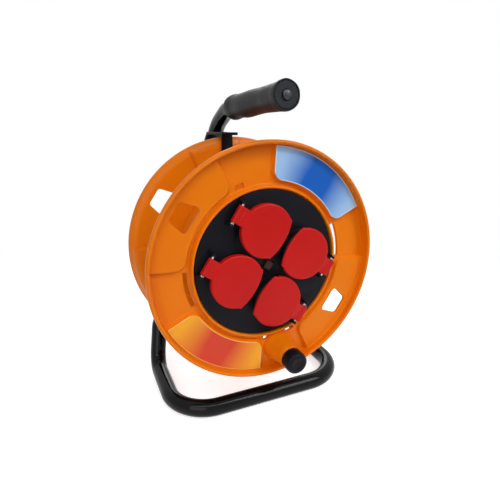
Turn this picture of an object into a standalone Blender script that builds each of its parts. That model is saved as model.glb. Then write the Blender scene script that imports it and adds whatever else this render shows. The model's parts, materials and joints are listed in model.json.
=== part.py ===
"""Extension cord reel: a plastic drum with four lidded sockets, carried by a bent steel tube frame.

The drum turns on a fixed axle at the back of the frame. Four sprung lids cover the sockets, a knob on the
front flange winds the drum, and a button in the middle resets the thermal cut-out.

Sizes are in metres. The helper at() places a point given from the axle: X to the right, Y from the middle of
the front rim towards the back, Z up.
"""

import math

import bmesh
import bpy
from mathutils import Matrix, Vector

MM = 0.001
GAP = 0.3 * MM            # left between pieces that touch
RUNNING = 0.1 * MM        # radial play of a shaft in its bush

# ---- driving dimensions -----------------------------------------------------------------------------------
FLANGE_RADIUS = 120 * MM
FLANGE_SPACING = 100 * MM          # between the middles of the two rims
FLOOR_CLEARANCE = 35 * MM          # from the flanges' edge to the floor
SHELL = 3 * MM                     # wall of the flanges
BARREL_WALL = 2.5 * MM

# flanges
RIM_WIDTH = 4.2 * MM               # across the rolled rim
RIM_PROUD = 3.8 * MM               # rim in front of its own middle
PAD_DEPTH = 4 * MM                 # pad face behind the rim's middle
CHANNEL_DEPTH = 8 * MM             # channel floor behind the rim's middle
WALL_FOOT = 0.8 * MM               # slope between a pad and the rim
HUB_CHANNEL = 2.7 * MM             # between the hub lip and the pads
PAD_RAMP = 1.8 * MM
PAD_CENTRE = math.radians(56.3)    # first of four pads
PAD_HALF_ANGLE = math.radians(31.5)
PAD_SIDE_ANGLE = math.radians(1.5)
HUB_LIP_WIDTH = 3 * MM
HUB_LIP_DEPTH = 3 * MM             # hub lip behind the rim's middle
SLOT_FROM_LIP = 1.8 * MM
SLOT_WIDTH = 4.6 * MM
SLOT_HALF_ANGLE = math.radians(12.5)
WINDOW_FROM_PAD_EDGE = 7.5 * MM
WINDOW_FROM_RIM = 11.5 * MM
WINDOW_INNER_HALF = 14.2 * MM
WINDOW_OUTER_HALF = 9.8 * MM
WINDOW_CORNER = 3 * MM
SPIGOT_WALL = 2.2 * MM
SPIGOT_LENGTH = 5 * MM

# sockets
FACEPLATE_DEPTH = 4.5 * MM         # face behind the rim's middle
FACEPLATE_WALL = 3 * MM
FACEPLATE_EDGE = 0.75 * MM         # outside the hinge ears
SOCKET_TURN = math.radians(-33)    # direction from a left socket to a right one
WELL_RADIUS = 19.3 * MM
WELL_WALL = 1.0 * MM
WELL_LENGTH = 17.3 * MM
WELL_FLOOR = 2.7 * MM
WELL_FLANGE = 3.2 * MM
WELL_FLANGE_WALL = 2 * MM
WELL_TO_SPIGOT = 1.3 * MM
PIN_SPACING = 19 * MM
PIN_HOLE_RADIUS = 2.7 * MM
PIN_HOLE_SIDES = 8
COLLAR_WALL = 2 * MM
COLLAR_HEIGHT = 8.5 * MM
GASKET_WALL = 1.1 * MM

# lids
LID_WALL = 2.8 * MM
LID_SKIRT_WALL = 1.8 * MM
LID_SKIRT = 4.5 * MM
LID_CLEARANCE = 2.1 * MM           # between collar and skirt
LID_SPACING_ACROSS = 2 * MM
LID_SPACING_ALONG = 6.6 * MM
LID_CORNER_ANGLE = math.radians(51)
LID_CORNER_PROUD = 1.1 * MM
LID_FRONT_TRIM = 4.8 * MM          # of the radius, at the edge opposite the hinge
TAB_HALF_WIDTH = 8.5 * MM
TAB_OVERHANG = 10.3 * MM           # outside the lid's round edge
TAB_ROOT = 2.5 * MM                # inside the lid's round edge
HINGE_OVERHANG = 7 * MM            # outside the lid's round edge
HINGE_DROP = 5.5 * MM              # pin below the lid's outer face
KNUCKLE_RADIUS = 3 * MM
HINGE_PIN_RADIUS = 1.25 * MM
SPRING_RADIUS = 2.4 * MM
SPRING_WIDTH = 1.9 * MM
EAR_WALL = 2.2 * MM
EAR_HALF_LENGTH = 3 * MM

# winding knob
CRANK_FROM_RIM = 24.5 * MM
CRANK_ANGLE = math.radians(279.5)
BOSS_BASE_RADIUS = 16.5 * MM
BOSS_TOP_RADIUS = 10.5 * MM
BOSS_TOP = 20 * MM                 # in front of the rim's middle
KNOB_RADIUS = 11.5 * MM
KNOB_LENGTH = 15 * MM
KNOB_ROUNDING = 4 * MM
KNOB_CROWN = 4 * MM                # solid front of the knob
SPINDLE_RADIUS = 3 * MM
SPINDLE_BARB_RADIUS = 4.4 * MM
SPINDLE_BARB_LENGTH = 2 * MM
SPINDLE_HEAD_RADIUS = 6 * MM
SPINDLE_HEAD_WALL = 2 * MM

# thermal cut-out and its button
BUTTON_WIDTH = 8 * MM
BUTTON_HEIGHT = 8.5 * MM
BUTTON_ROUNDING = 0.8 * MM
BUTTON_PROUD = 3 * MM
BUTTON_LENGTH = 16 * MM
BUTTON_STROKE = 2.5 * MM
BUTTON_PLAY = 0.35 * MM
CUTOUT_WIDTH = 16 * MM
CUTOUT_HEIGHT = 18 * MM
CUTOUT_LENGTH = 24 * MM

# wiring inside the drum
STRIP_WIDTH = 8 * MM
STRIP_WALL = 0.8 * MM
TERMINAL_LENGTH = 30 * MM
TERMINAL_WIDTH = 14 * MM
TERMINAL_HEIGHT = 12 * MM
GLAND_RADIUS = 6 * MM
GLAND_BORE = 4.2 * MM
GLAND_FLANGE = 3 * MM
GLAND_FLANGE_WALL = 2 * MM
GLAND_ANGLE = math.radians(180)
GLAND_FROM_REAR = 22 * MM

# screws that clamp the drum
DRUM_SCREW_FROM_SPIGOT = 8 * MM
DRUM_SCREW_RADIUS = 2 * MM
DRUM_SCREW_HEAD = 4 * MM
DRUM_SCREW_HEAD_WALL = 2.4 * MM
POST_RADIUS = 4.5 * MM
POST_LENGTH = 26 * MM

# axle and bushes
AXLE_RADIUS = 5 * MM
AXLE_GROOVE = 0.8 * MM
AXLE_SHOULDER = 2 * MM
THREAD_STEP = 1 * MM               # thread radius below the axle's
THREAD_END = 1.5 * MM              # behind the nut
SLEEVE_WALL = 4 * MM
SLEEVE_PROUD = 17 * MM             # behind the rear rim's middle
SLEEVE_LENGTH = 59 * MM
BUSH_WALL = 3.6 * MM
BUSH_LENGTH = 14 * MM
BUSH_COLLAR = 2 * MM
COLLAR_STEP = 4 * MM               # collar radius over the axle's
WASHER_WALL = 1.6 * MM
CLIP_WALL = 1 * MM                 # spring clip on the axle

# tube frame
TUBE_RADIUS = 9 * MM               # to the flats of its section
TUBE_WALL = 1.2 * MM
TUBE_SIDES = 12
BASE_INSET = 23 * MM               # side runs inside the flange's radius
BASE_FRONT = 1.7 * MM              # front run from the rim's middle
BASE_OVERHANG = 6 * MM             # rear corners behind the rear rim's middle
BASE_CORNER_RADIUS = 42 * MM
LEG_FOOT_RADIUS = 26 * MM
LEG_KNEE_RADIUS = 30 * MM
LEG_TOP_RADIUS = 28 * MM
LEG_LEAN_IN = 9.5 * MM
LEG_LEAN_BACK = 18 * MM
LEG_LEAN_HEIGHT = 51 * MM
LEG_SIDE_GAP = 3.4 * MM            # between a leg and the upright
LEG_TOP = 24 * MM
LEG_BEND_DROP = 15 * MM            # corner of the leg's bend below the plate
PLATE_WALL = 3.5 * MM
PLATE_EDGE = 12 * MM               # outside the legs' axes
PLATE_OVER_LEG = 4 * MM
PLATE_CORNER = 8 * MM
UPRIGHT_STRAIGHT = 40 * MM         # straight part, above the axle
UPRIGHT_BULGE = 37 * MM            # backwards from the straight part
UPRIGHT_BULGE_DROP = 16 * MM       # below the flanges' edge
UPRIGHT_LOWER_RADIUS = 60 * MM
UPRIGHT_UPPER_RADIUS = 30 * MM
SHOULDER_RADIUS = 60 * MM
SHOULDER_BACK = 34 * MM            # behind the handle's corner
SHOULDER_DROP = 15 * MM            # below the handle's corner
HANDLE_BEND_RADIUS = 50 * MM
HANDLE_BEND_START = 16.5 * MM      # corner behind the grip's end
GRIP_FRONT = -27.5 * MM
GRIP_CLEARANCE = 35.5 * MM         # grip's axis above the flanges' edge, at the front
GRIP_SLOPE = math.radians(2.8)
GRIP_OVERHANG = 19 * MM            # grip longer than the flanges' spacing
GRIP_WALL = 2.9 * MM
GRIP_END_PROUD = 0.8 * MM
GRIP_END_BAND = 5 * MM
GRIP_BAND_SLOPE = 3 * MM
GRIP_END_WALL = 4 * MM
GRIP_SCREW_RADIUS = 2.5 * MM
PLUG_RIM = 2.5 * MM
PLUG_STEM = 9 * MM
BOLT_RADIUS = 3 * MM
BOLT_HEAD_RADIUS = 6 * MM
BOLT_HEAD_WALL = 3.4 * MM
NUT_WALL = 4.5 * MM

# clip that keeps the last turn of cord on the drum
CLIP_RUNNING = 1.5 * MM            # over the rear rim
CLIP_PLATE = 3 * MM
CLIP_LEFT = -16 * MM
CLIP_RIGHT = 2 * MM
CLIP_LEG_WIDTH = 12 * MM
CLIP_LIP = 2.5 * MM
CLIP_LEG = 20 * MM
CLIP_LEG_FROM_RIM = 15 * MM
CLIP_STRAP_DROP = 48 * MM          # below the flanges' edge
CLIP_SCREW_DROP = 40 * MM
CLIP_SCREW_RADIUS = 2 * MM
CLIP_SCREW_LENGTH = 8 * MM

# labels
LABEL_WALL = 0.4 * MM
LABEL_MARGIN = 0.4 * MM

ROUND = 20                         # sides of a middling round piece
SMALL = 10                         # sides of a small round piece
DRUM_SIDES = 40
NUT_SIDES = 6
CUT_PAST = 1 * MM                  # how far a cutter runs past a face
SMOOTH_BELOW = math.radians(40)

# ---- sizes worked out from those above --------------------------------------------------------------------
AXLE_HEIGHT = FLANGE_RADIUS + FLOOR_CLEARANCE
TUBE_REACH = TUBE_RADIUS / math.cos(math.pi / TUBE_SIDES)

# sockets and lids
COLLAR_TOP = FACEPLATE_DEPTH - COLLAR_HEIGHT
COLLAR_INNER = WELL_RADIUS + WELL_WALL + GAP
COLLAR_OUTER = COLLAR_INNER + COLLAR_WALL
WELL_INNER_FLOOR = COLLAR_TOP + WELL_LENGTH
WELL_BACK = WELL_INNER_FLOOR + WELL_FLOOR
LID_RADIUS = COLLAR_OUTER + LID_CLEARANCE + LID_SKIRT_WALL
LID_CORNER_RADIUS = LID_RADIUS + LID_CORNER_PROUD
LID_FRONT_REACH = LID_RADIUS - LID_FRONT_TRIM
LID_INNER_FACE = COLLAR_TOP - GASKET_WALL - 2 * GAP
LID_FACE = LID_INNER_FACE - LID_WALL
TAB_REACH = LID_RADIUS + TAB_OVERHANG
HINGE_REACH = LID_RADIUS + HINGE_OVERHANG
HINGE_DEPTH = LID_FACE + HINGE_DROP
HINGE_BORE = HINGE_PIN_RADIUS + RUNNING
SPRING_START = TAB_HALF_WIDTH + GAP
EAR_START = SPRING_START + SPRING_WIDTH + GAP
HINGE_PIN_HALF = EAR_START + EAR_WALL
SOCKET_PITCH_ALONG = 2 * LID_FRONT_REACH + LID_SPACING_ALONG      # along the lids' hinge direction
SOCKET_PITCH_ACROSS = 2 * LID_RADIUS + LID_SPACING_ACROSS
EAR_CORNER_ALONG = SOCKET_PITCH_ALONG / 2 + HINGE_REACH + EAR_HALF_LENGTH
EAR_CORNER_ACROSS = SOCKET_PITCH_ACROSS / 2 + HINGE_PIN_HALF
FACEPLATE_RADIUS = math.hypot(EAR_CORNER_ALONG, EAR_CORNER_ACROSS) + FACEPLATE_EDGE

# flanges and barrel
BACK_DEPTH = CHANNEL_DEPTH + SHELL
HUB_RECESS_DEPTH = FACEPLATE_DEPTH + FACEPLATE_WALL + GAP
RECESS_RADIUS = FACEPLATE_RADIUS + 2.5 * GAP
LIP_OUTER = RECESS_RADIUS + HUB_LIP_WIDTH
PAD_INNER_RADIUS = LIP_OUTER + HUB_CHANNEL
PAD_FACE_INNER = PAD_INNER_RADIUS + PAD_RAMP
RIM_INNER = FLANGE_RADIUS - RIM_WIDTH
PAD_FACE_OUTER = RIM_INNER - WALL_FOOT
SLOT_INNER_RADIUS = LIP_OUTER + SLOT_FROM_LIP
WINDOW_INNER_RADIUS = PAD_INNER_RADIUS + WINDOW_FROM_PAD_EDGE
WINDOW_OUTER_RADIUS = FLANGE_RADIUS - WINDOW_FROM_RIM
WELL_OUTER = WELL_RADIUS + WELL_WALL
WELL_OUTSIDE = math.hypot(SOCKET_PITCH_ALONG, SOCKET_PITCH_ACROSS) / 2 + WELL_OUTER + WELL_FLANGE
SPIGOT_INNER = WELL_OUTSIDE + WELL_TO_SPIGOT
SPIGOT_RADIUS = SPIGOT_INNER + SPIGOT_WALL
BARREL_INNER = SPIGOT_RADIUS + GAP
BARREL_RADIUS = BARREL_INNER + BARREL_WALL
BARREL_FRONT = BACK_DEPTH + GAP
BARREL_REAR = FLANGE_SPACING - BACK_DEPTH - GAP
DRUM_SCREW_CIRCLE = SPIGOT_INNER - DRUM_SCREW_FROM_SPIGOT
CRANK_RADIUS = FLANGE_RADIUS - CRANK_FROM_RIM
KNOB_FRONT = BOSS_TOP + GAP + KNOB_LENGTH

# axle
AXLE_THREAD_RADIUS = AXLE_RADIUS - THREAD_STEP
COLLAR_RADIUS = AXLE_RADIUS + COLLAR_STEP
SLEEVE_BORE = AXLE_RADIUS + RUNNING + BUSH_WALL + GAP
SLEEVE_RADIUS = SLEEVE_BORE + SLEEVE_WALL
SLEEVE_REAR = FLANGE_SPACING + SLEEVE_PROUD
SLEEVE_FRONT = SLEEVE_REAR - SLEEVE_LENGTH
BUSH_FRONT = SLEEVE_FRONT - GAP - BUSH_COLLAR
AXLE_FRONT = BUSH_FRONT - WASHER_WALL - CLIP_WALL - 2 * MM

# frame
PLATE_FRONT = SLEEVE_REAR + BUSH_COLLAR + 2 * GAP + AXLE_SHOULDER + GAP
PLATE_REAR = PLATE_FRONT + PLATE_WALL
FRAME_DEPTH = PLATE_REAR + GAP + TUBE_REACH
NUT_FRONT = FRAME_DEPTH + TUBE_REACH + GAP
AXLE_REAR = NUT_FRONT + NUT_WALL + THREAD_END
LEG_SPACING = 2 * TUBE_REACH + LEG_SIDE_GAP
PLATE_HALF_WIDTH = LEG_SPACING + PLATE_EDGE
PLATE_HALF_HEIGHT = LEG_TOP + PLATE_OVER_LEG
BASE_HALF_WIDTH = FLANGE_RADIUS - BASE_INSET
BASE_REAR = FLANGE_SPACING + BASE_OVERHANG
FLOOR = TUBE_RADIUS - AXLE_HEIGHT
GRIP_FRONT_HEIGHT = FLANGE_RADIUS + GRIP_CLEARANCE
GRIP_LENGTH = FLANGE_SPACING + GRIP_OVERHANG
GRIP_RADIUS = TUBE_REACH + GRIP_WALL
GRIP_END_RADIUS = GRIP_RADIUS + GRIP_END_PROUD
CLIP_TOP = FLANGE_RADIUS + CLIP_RUNNING + CLIP_PLATE
CLIP_LEG_FRONT = FLANGE_SPACING - CLIP_LEG_FROM_RIM
CLIP_STRAP_BOTTOM = FLANGE_RADIUS - CLIP_STRAP_DROP
CLIP_SCREW_HEIGHT = FLANGE_RADIUS - CLIP_SCREW_DROP

ALONG = Vector((math.cos(SOCKET_TURN), 0, math.sin(SOCKET_TURN)))
ACROSS = Vector((-math.sin(SOCKET_TURN), 0, math.cos(SOCKET_TURN)))
FORWARD = Vector((0, -1, 0))
BACK = Vector((0, 1, 0))
UP = Vector((0, 0, 1))

# name: (colour, roughness, metallic)
FINISHES = {
    "orange_plastic": ((0.69, 0.17, 0.004), 0.35, 0.0),
    "black_plastic": ((0.012, 0.012, 0.014), 0.4, 0.0),
    "red_plastic": ((0.55, 0.012, 0.01), 0.35, 0.0),
    "grip_plastic": ((0.028, 0.03, 0.032), 0.6, 0.0),
    "black_paint": ((0.01, 0.01, 0.011), 0.25, 0.0),
    "zinc_steel": ((0.6, 0.6, 0.62), 0.35, 1.0),
    "spring_steel": ((0.5, 0.5, 0.52), 0.25, 1.0),
    "brass": ((0.72, 0.48, 0.16), 0.3, 1.0),
    "nylon": ((0.75, 0.74, 0.7), 0.5, 0.0),
    "rubber": ((0.02, 0.02, 0.02), 0.8, 0.0),
    "brown_plastic": ((0.09, 0.014, 0.01), 0.4, 0.0),
    "blue_label": ((0.03, 0.2, 0.7), 0.3, 0.0),
    "orange_label": ((0.8, 0.25, 0.03), 0.3, 0.0),
}


# ---- helpers ----------------------------------------------------------------------------------------------
def material(finish):
    """The Principled material of one finish, made once."""
    found = bpy.data.materials.get(finish)
    if found:
        return found
    colour, roughness, metallic = FINISHES[finish]
    made = bpy.data.materials.new(finish)
    made.use_nodes = True
    shader = made.node_tree.nodes["Principled BSDF"]
    shader.inputs["Base Color"].default_value = (*colour, 1)
    shader.inputs["Roughness"].default_value = roughness
    shader.inputs["Metallic"].default_value = metallic
    return made


def make_object(name, bm, finish):
    """An object of a finished bmesh, with its faces pointing out and its round sides smooth."""
    bmesh.ops.recalc_face_normals(bm, faces=bm.faces)
    mesh = bpy.data.meshes.new(name)
    bm.to_mesh(mesh)
    bm.free()
    mesh.shade_smooth()
    mesh.set_sharp_from_angle(angle=SMOOTH_BELOW)
    if finish:
        mesh.materials.append(material(finish))
    made = bpy.data.objects.new(name, mesh)
    bpy.context.scene.collection.objects.link(made)
    return made


def frame_matrix(origin, axis, side):
    """A matrix whose local Z runs along axis and whose local X runs along side."""
    axis = axis.normalized()
    side = (side - axis * side.dot(axis)).normalized()
    columns = Matrix((side, axis.cross(side), axis)).transposed()
    return Matrix.Translation(origin) @ columns.to_4x4()


def skin_rings(bm, rings, closed):
    """Quads between neighbouring rings of vertices; closed joins the last ring to the first."""
    count = len(rings) if closed else len(rings) - 1
    for index in range(count):
        ring = rings[index]
        following = rings[(index + 1) % len(rings)]
        for corner in range(len(ring)):
            after = (corner + 1) % len(ring)
            bm.faces.new((ring[corner], ring[after], following[after], following[corner]))


def ring_points(radius, height, sides):
    """The corners of a regular polygon about local Z."""
    angles = [2 * math.pi * (step + 0.5) / sides for step in range(sides)]
    return [Vector((radius * math.cos(angle), radius * math.sin(angle), height)) for angle in angles]


def turned_mesh(bm, profile, sides, matrix):
    """Adds a solid turned about local Z from a closed profile of (radius, height) points.

    A profile that starts and ends at radius 0 gets one point there at each end.
    """
    solid = profile[0][0] == 0
    turning = profile[1:-1] if solid else profile
    rings = []
    for radius, height in turning:
        rings.append([bm.verts.new(matrix @ point) for point in ring_points(radius, height, sides)])
    skin_rings(bm, rings, closed=not solid)
    if solid:
        for ring in (rings[0], rings[-1]):
            bm.faces.new(ring)


def turned(name, finish, profile, sides, origin, axis, side=UP):
    """A turned object; heights in the profile are measured from origin along axis."""
    bm = bmesh.new()
    turned_mesh(bm, profile, sides, frame_matrix(origin, axis, side))
    return make_object(name, bm, finish)


def disc_profile(radius, low, high):
    """The profile of a solid disc or pin."""
    return [(0, low), (radius, low), (radius, high), (0, high)]


def ring_profile(inner, outer, low, high):
    """The profile of a ring."""
    return [(inner, low), (outer, low), (outer, high), (inner, high)]


def bore(radius, sides=ROUND):
    """The corner radius of a bore whose flats reach the stated radius."""
    return radius / math.cos(math.pi / sides)


def prism_mesh(bm, outline, low, high, matrix):
    """Adds a straight prism of a plane outline of (x, y) points between two local heights."""
    bottom = [bm.verts.new(matrix @ Vector((x, y, low))) for x, y in outline]
    top = [bm.verts.new(matrix @ Vector((x, y, high))) for x, y in outline]
    skin_rings(bm, [bottom, top], closed=False)
    bm.faces.new(bottom)
    bm.faces.new(top)


def prism(name, finish, outline, low, high, matrix):
    """An object with one prism."""
    bm = bmesh.new()
    prism_mesh(bm, outline, low, high, matrix)
    return make_object(name, bm, finish)


def box_outline(half_width, half_height):
    """The outline of a rectangle about the origin."""
    return [(-half_width, -half_height), (half_width, -half_height), (half_width, half_height),
            (-half_width, half_height)]


def arc_points(radius, start, end, steps, centre=(0, 0)):
    """Points along an arc, both ends included."""
    angles = [start + (end - start) * step / steps for step in range(steps + 1)]
    return [(centre[0] + radius * math.cos(a), centre[1] + radius * math.sin(a)) for a in angles]


def sector_outline(inner, outer, middle, half, steps):
    """The outline of a ring sector."""
    inside = arc_points(inner, middle - half, middle + half, steps)
    outside = arc_points(outer, middle + half, middle - half, steps)
    return inside + outside


def swing(start, end, share):
    """A vector turned part of the way from start to end, both of one length."""
    angle = start.angle(end)
    return (start * math.sin((1 - share) * angle) + end * math.sin(share * angle)) / math.sin(angle)


def rounded_outline(corners, radius, steps=3):
    """A plane outline whose corners are rounded."""
    outline = []
    count = len(corners)
    for index, corner in enumerate(corners):
        point = Vector(corner)
        before = (Vector(corners[index - 1]) - point).normalized()
        after = (Vector(corners[(index + 1) % count]) - point).normalized()
        half = before.angle(after) / 2
        centre = point + (before + after).normalized() * radius / math.sin(half)
        start = point + before * radius / math.tan(half) - centre
        end = point + after * radius / math.tan(half) - centre
        for step in range(steps + 1):
            outline.append(tuple(centre + swing(start, end, step / steps)))
    return outline


def guide(cutter):
    """Marks an object as a cutter, which isn't part of the reel."""
    cutter.hide_render = True
    cutter.display_type = "WIRE"
    cutter.hide_set(True)
    return cutter


def combine(target, other, operation):
    """Joins another object to the target, or cuts it away, with an exact Boolean."""
    change = target.modifiers.new(f"{operation.lower()} {other.name}", "BOOLEAN")
    change.operation = operation
    change.solver = "EXACT"
    change.object = guide(other)


def rounded_path(corners, radii, arc_step=math.radians(17)):
    """A path through corners, each rounded by its radius."""
    path = [corners[0]]
    for before, corner, after, radius in zip(corners, corners[1:], corners[2:], radii):
        back = (before - corner).normalized()
        on = (after - corner).normalized()
        half = back.angle(on) / 2
        centre = corner + (back + on).normalized() * radius / math.sin(half)
        start = corner + back * radius / math.tan(half) - centre
        end = corner + on * radius / math.tan(half) - centre
        steps = max(2, round((math.pi - 2 * half) / arc_step))
        path += [centre + swing(start, end, step / steps) for step in range(steps + 1)]
    return path + [corners[-1]]


def path_frames(path, first, normal):
    """A matrix at each point of a path, carried from one point without twist."""
    tangents = []
    for index, point in enumerate(path):
        before = path[max(index - 1, 0)]
        after = path[min(index + 1, len(path) - 1)]
        arriving = (point - before).normalized()
        leaving = (after - point).normalized()
        tangents.append((arriving + leaving).normalized())
    normals = {first: normal}
    onward = [(index, index - 1) for index in range(first + 1, len(path))]
    backward = [(index, index + 1) for index in range(first - 1, -1, -1)]
    for index, source in onward + backward:
        turn = tangents[source].rotation_difference(tangents[index])
        normals[index] = turn @ normals[source]
    return [frame_matrix(path[i], tangents[i], normals[i]) for i in range(len(path))]


def bent_tube(name, finish, path, first, normal):
    """A hollow bent tube, open at both ends, with a flat of its section facing the normal."""
    bm = bmesh.new()
    frames = path_frames(path, first, normal)
    reach = {"outer": TUBE_REACH, "inner": (TUBE_RADIUS - TUBE_WALL) / math.cos(math.pi / TUBE_SIDES)}
    rings = {}
    for skin, radius in reach.items():
        section = ring_points(radius, 0, TUBE_SIDES)
        rings[skin] = [[bm.verts.new(frame @ point) for point in section] for frame in frames]
    skin_rings(bm, rings["outer"] + rings["inner"][::-1], closed=True)
    return make_object(name, bm, finish)


# ---- the part's own frame ---------------------------------------------------------------------------------
def grip_axis():
    """The front end of the grip's axis and the direction along it towards the back, from the axle."""
    along = Vector((0, math.cos(GRIP_SLOPE), -math.sin(GRIP_SLOPE)))
    return Vector((0, GRIP_FRONT, GRIP_FRONT_HEIGHT)), along


def upright_path():
    """The middle line of the upright and handle tube, from its lower end to the grip, from the axle."""
    front, along = grip_axis()
    handle = front + along * (GRIP_LENGTH + HANDLE_BEND_START)
    corners = [Vector((0, FRAME_DEPTH, -PLATE_HALF_HEIGHT)), Vector((0, FRAME_DEPTH, UPRIGHT_STRAIGHT)),
               Vector((0, FRAME_DEPTH + UPRIGHT_BULGE, FLANGE_RADIUS - UPRIGHT_BULGE_DROP)),
               handle + Vector((0, SHOULDER_BACK, -SHOULDER_DROP)), handle,
               front + along * (GRIP_END_WALL + 2 * GAP)]
    radii = [UPRIGHT_LOWER_RADIUS, UPRIGHT_UPPER_RADIUS, SHOULDER_RADIUS, HANDLE_BEND_RADIUS]
    return rounded_path(corners, radii)


def upright_side(distance):
    """Points beside the upright in its bend plane, from the axle; a positive distance is in front of it."""
    frames = path_frames(upright_path(), 0, Vector((1, 0, 0)))
    return [frame @ Vector((0, -distance, 0)) for frame in frames]


REARMOST = max(point.y for point in upright_side(-TUBE_RADIUS))
MIDDLE_DEPTH = (REARMOST - KNOB_FRONT) / 2


def at(x, depth, height):
    """A point given from the axle and the middle of the front rim, in the part's own frame."""
    return Vector((x, depth - MIDDLE_DEPTH, height + AXLE_HEIGHT))


# ---- drum -------------------------------------------------------------------------------------------------
def flange_skin():
    """The flange outside its hub recess, as (radius, depth in a channel, depth on a pad) points.

    They run from the hub lip outward over the front, round the rim and back inward behind.
    """
    floor = CHANNEL_DEPTH
    pad = PAD_DEPTH
    front = [
        (RECESS_RADIUS, HUB_LIP_DEPTH, HUB_LIP_DEPTH),
        (LIP_OUTER - HUB_LIP_WIDTH / 4, HUB_LIP_DEPTH, HUB_LIP_DEPTH),
        (LIP_OUTER + 1 * MM, floor, floor),
        (PAD_INNER_RADIUS, floor, floor),
        (PAD_FACE_INNER, floor, pad),
        (PAD_FACE_OUTER, floor, pad),
        (RIM_INNER + 0.1 * RIM_WIDTH, -0.7 * RIM_PROUD, -0.7 * RIM_PROUD),
        (RIM_INNER + 0.55 * RIM_WIDTH, -RIM_PROUD, -RIM_PROUD),
        (FLANGE_RADIUS - 0.1 * RIM_WIDTH, -0.65 * RIM_PROUD, -0.65 * RIM_PROUD),
        (FLANGE_RADIUS, 0, 0),
        (FLANGE_RADIUS - 0.2 * RIM_WIDTH, 2.2 * MM, 2.2 * MM),
        (RIM_INNER + 0.35 * RIM_WIDTH, 5 * MM, 5 * MM),
    ]
    behind = [
        (RIM_INNER - 0.5 * MM, floor + 0.6 * SHELL, pad + SHELL),
        (PAD_FACE_OUTER - 2 * MM, floor + SHELL, pad + SHELL),
        (PAD_FACE_INNER + 1.5 * MM, floor + SHELL, pad + SHELL),
        (PAD_INNER_RADIUS + 1.5 * MM, floor + SHELL, floor + SHELL),
    ]
    return front + behind


def pad_share(turn):
    """How far a ray at this angle is on a pad: 0 in a channel, 1 on a pad."""
    from_centre = abs((turn - PAD_CENTRE + math.pi / 4) % (math.pi / 2) - math.pi / 4)
    return 1.0 if from_centre < PAD_HALF_ANGLE - 0.5 * PAD_SIDE_ANGLE else 0.0


def flange_angles():
    """The angles of the flange's rays: even over each pad and channel, and at the pads' sides."""
    pad_rays = [PAD_HALF_ANGLE - PAD_SIDE_ANGLE, 2 / 3 * PAD_HALF_ANGLE, PAD_HALF_ANGLE / 3]
    channel_rays = [math.pi / 4, PAD_HALF_ANGLE]
    half = channel_rays + pad_rays
    offsets = [-angle for angle in half] + [0] + [angle for angle in half[:0:-1]]
    return [PAD_CENTRE + quarter * math.pi / 2 + offset for quarter in range(4) for offset in offsets]


def flange_mesh(skin, place):
    """A closed ring of rays whose depth follows the pads; place turns a depth into a point's depth."""
    bm = bmesh.new()
    rings = []
    for turn in flange_angles():
        share = pad_share(turn)
        ray = []
        for radius, channel, pad in skin:
            depth = place(channel + (pad - channel) * share)
            ray.append(bm.verts.new(at(radius * math.cos(turn), depth, radius * math.sin(turn))))
        rings.append(ray)
    skin_rings(bm, rings, closed=True)
    return bm


def flange_openings(name, low, high):
    """The cutter of the windows in two pads and the arc slots in the channels, between two depths."""
    bm = bmesh.new()
    plane = frame_matrix(at(0, 0, 0), FORWARD, Vector((1, 0, 0)))
    for quarter in (1, 3):
        turn = Matrix.Rotation(PAD_CENTRE + quarter * math.pi / 2, 4, "Z")
        corners = [(WINDOW_INNER_RADIUS, -WINDOW_INNER_HALF), (WINDOW_OUTER_RADIUS, -WINDOW_OUTER_HALF),
                   (WINDOW_OUTER_RADIUS, WINDOW_OUTER_HALF), (WINDOW_INNER_RADIUS, WINDOW_INNER_HALF)]
        prism_mesh(bm, rounded_outline(corners, WINDOW_CORNER), -high, -low, plane @ turn)
    for quarter in range(4):
        middle = PAD_CENTRE + (quarter + 0.5) * math.pi / 2
        outer = SLOT_INNER_RADIUS + SLOT_WIDTH
        outline = sector_outline(SLOT_INNER_RADIUS, outer, middle, SLOT_HALF_ANGLE, 4)
        prism_mesh(bm, outline, -high, -low, plane)
    return make_object(name, bm, None)


def crank_origin():
    """The point of the crank's axis on the middle plane of the front rim."""
    return at(CRANK_RADIUS * math.cos(CRANK_ANGLE), 0, CRANK_RADIUS * math.sin(CRANK_ANGLE))


def make_front_flange():
    """The front flange, with its hub recess, spigot, windows, slots and the boss for the winding knob."""
    hub = [(SPIGOT_RADIUS, BACK_DEPTH), (SPIGOT_RADIUS, BACK_DEPTH + SPIGOT_LENGTH),
           (SPIGOT_INNER, BACK_DEPTH + SPIGOT_LENGTH), (SPIGOT_INNER, HUB_RECESS_DEPTH),
           (RECESS_RADIUS, HUB_RECESS_DEPTH)]
    skin = flange_skin() + [(radius, depth, depth) for radius, depth in hub]
    flange = make_object("front_flange", flange_mesh(skin, lambda depth: depth), "orange_plastic")
    boss_foot = SHELL / 4 - BACK_DEPTH
    boss_profile = [(0, boss_foot), (BOSS_BASE_RADIUS, boss_foot), (BOSS_BASE_RADIUS, -PAD_DEPTH),
                    (0.9 * BOSS_BASE_RADIUS, 0), (BOSS_TOP_RADIUS, BOSS_TOP), (0, BOSS_TOP)]
    boss = turned("crank_boss_shape", None, boss_profile, ROUND, crank_origin(), FORWARD)
    combine(flange, flange_openings("front_openings", -CUT_PAST, BACK_DEPTH + CUT_PAST), "DIFFERENCE")
    combine(flange, boss, "UNION")
    hole = disc_profile(bore(SPINDLE_RADIUS + RUNNING, SMALL), -BACK_DEPTH - CUT_PAST, BOSS_TOP + CUT_PAST)
    combine(flange, turned("spindle_hole", None, hole, SMALL, crank_origin(), FORWARD), "DIFFERENCE")


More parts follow.
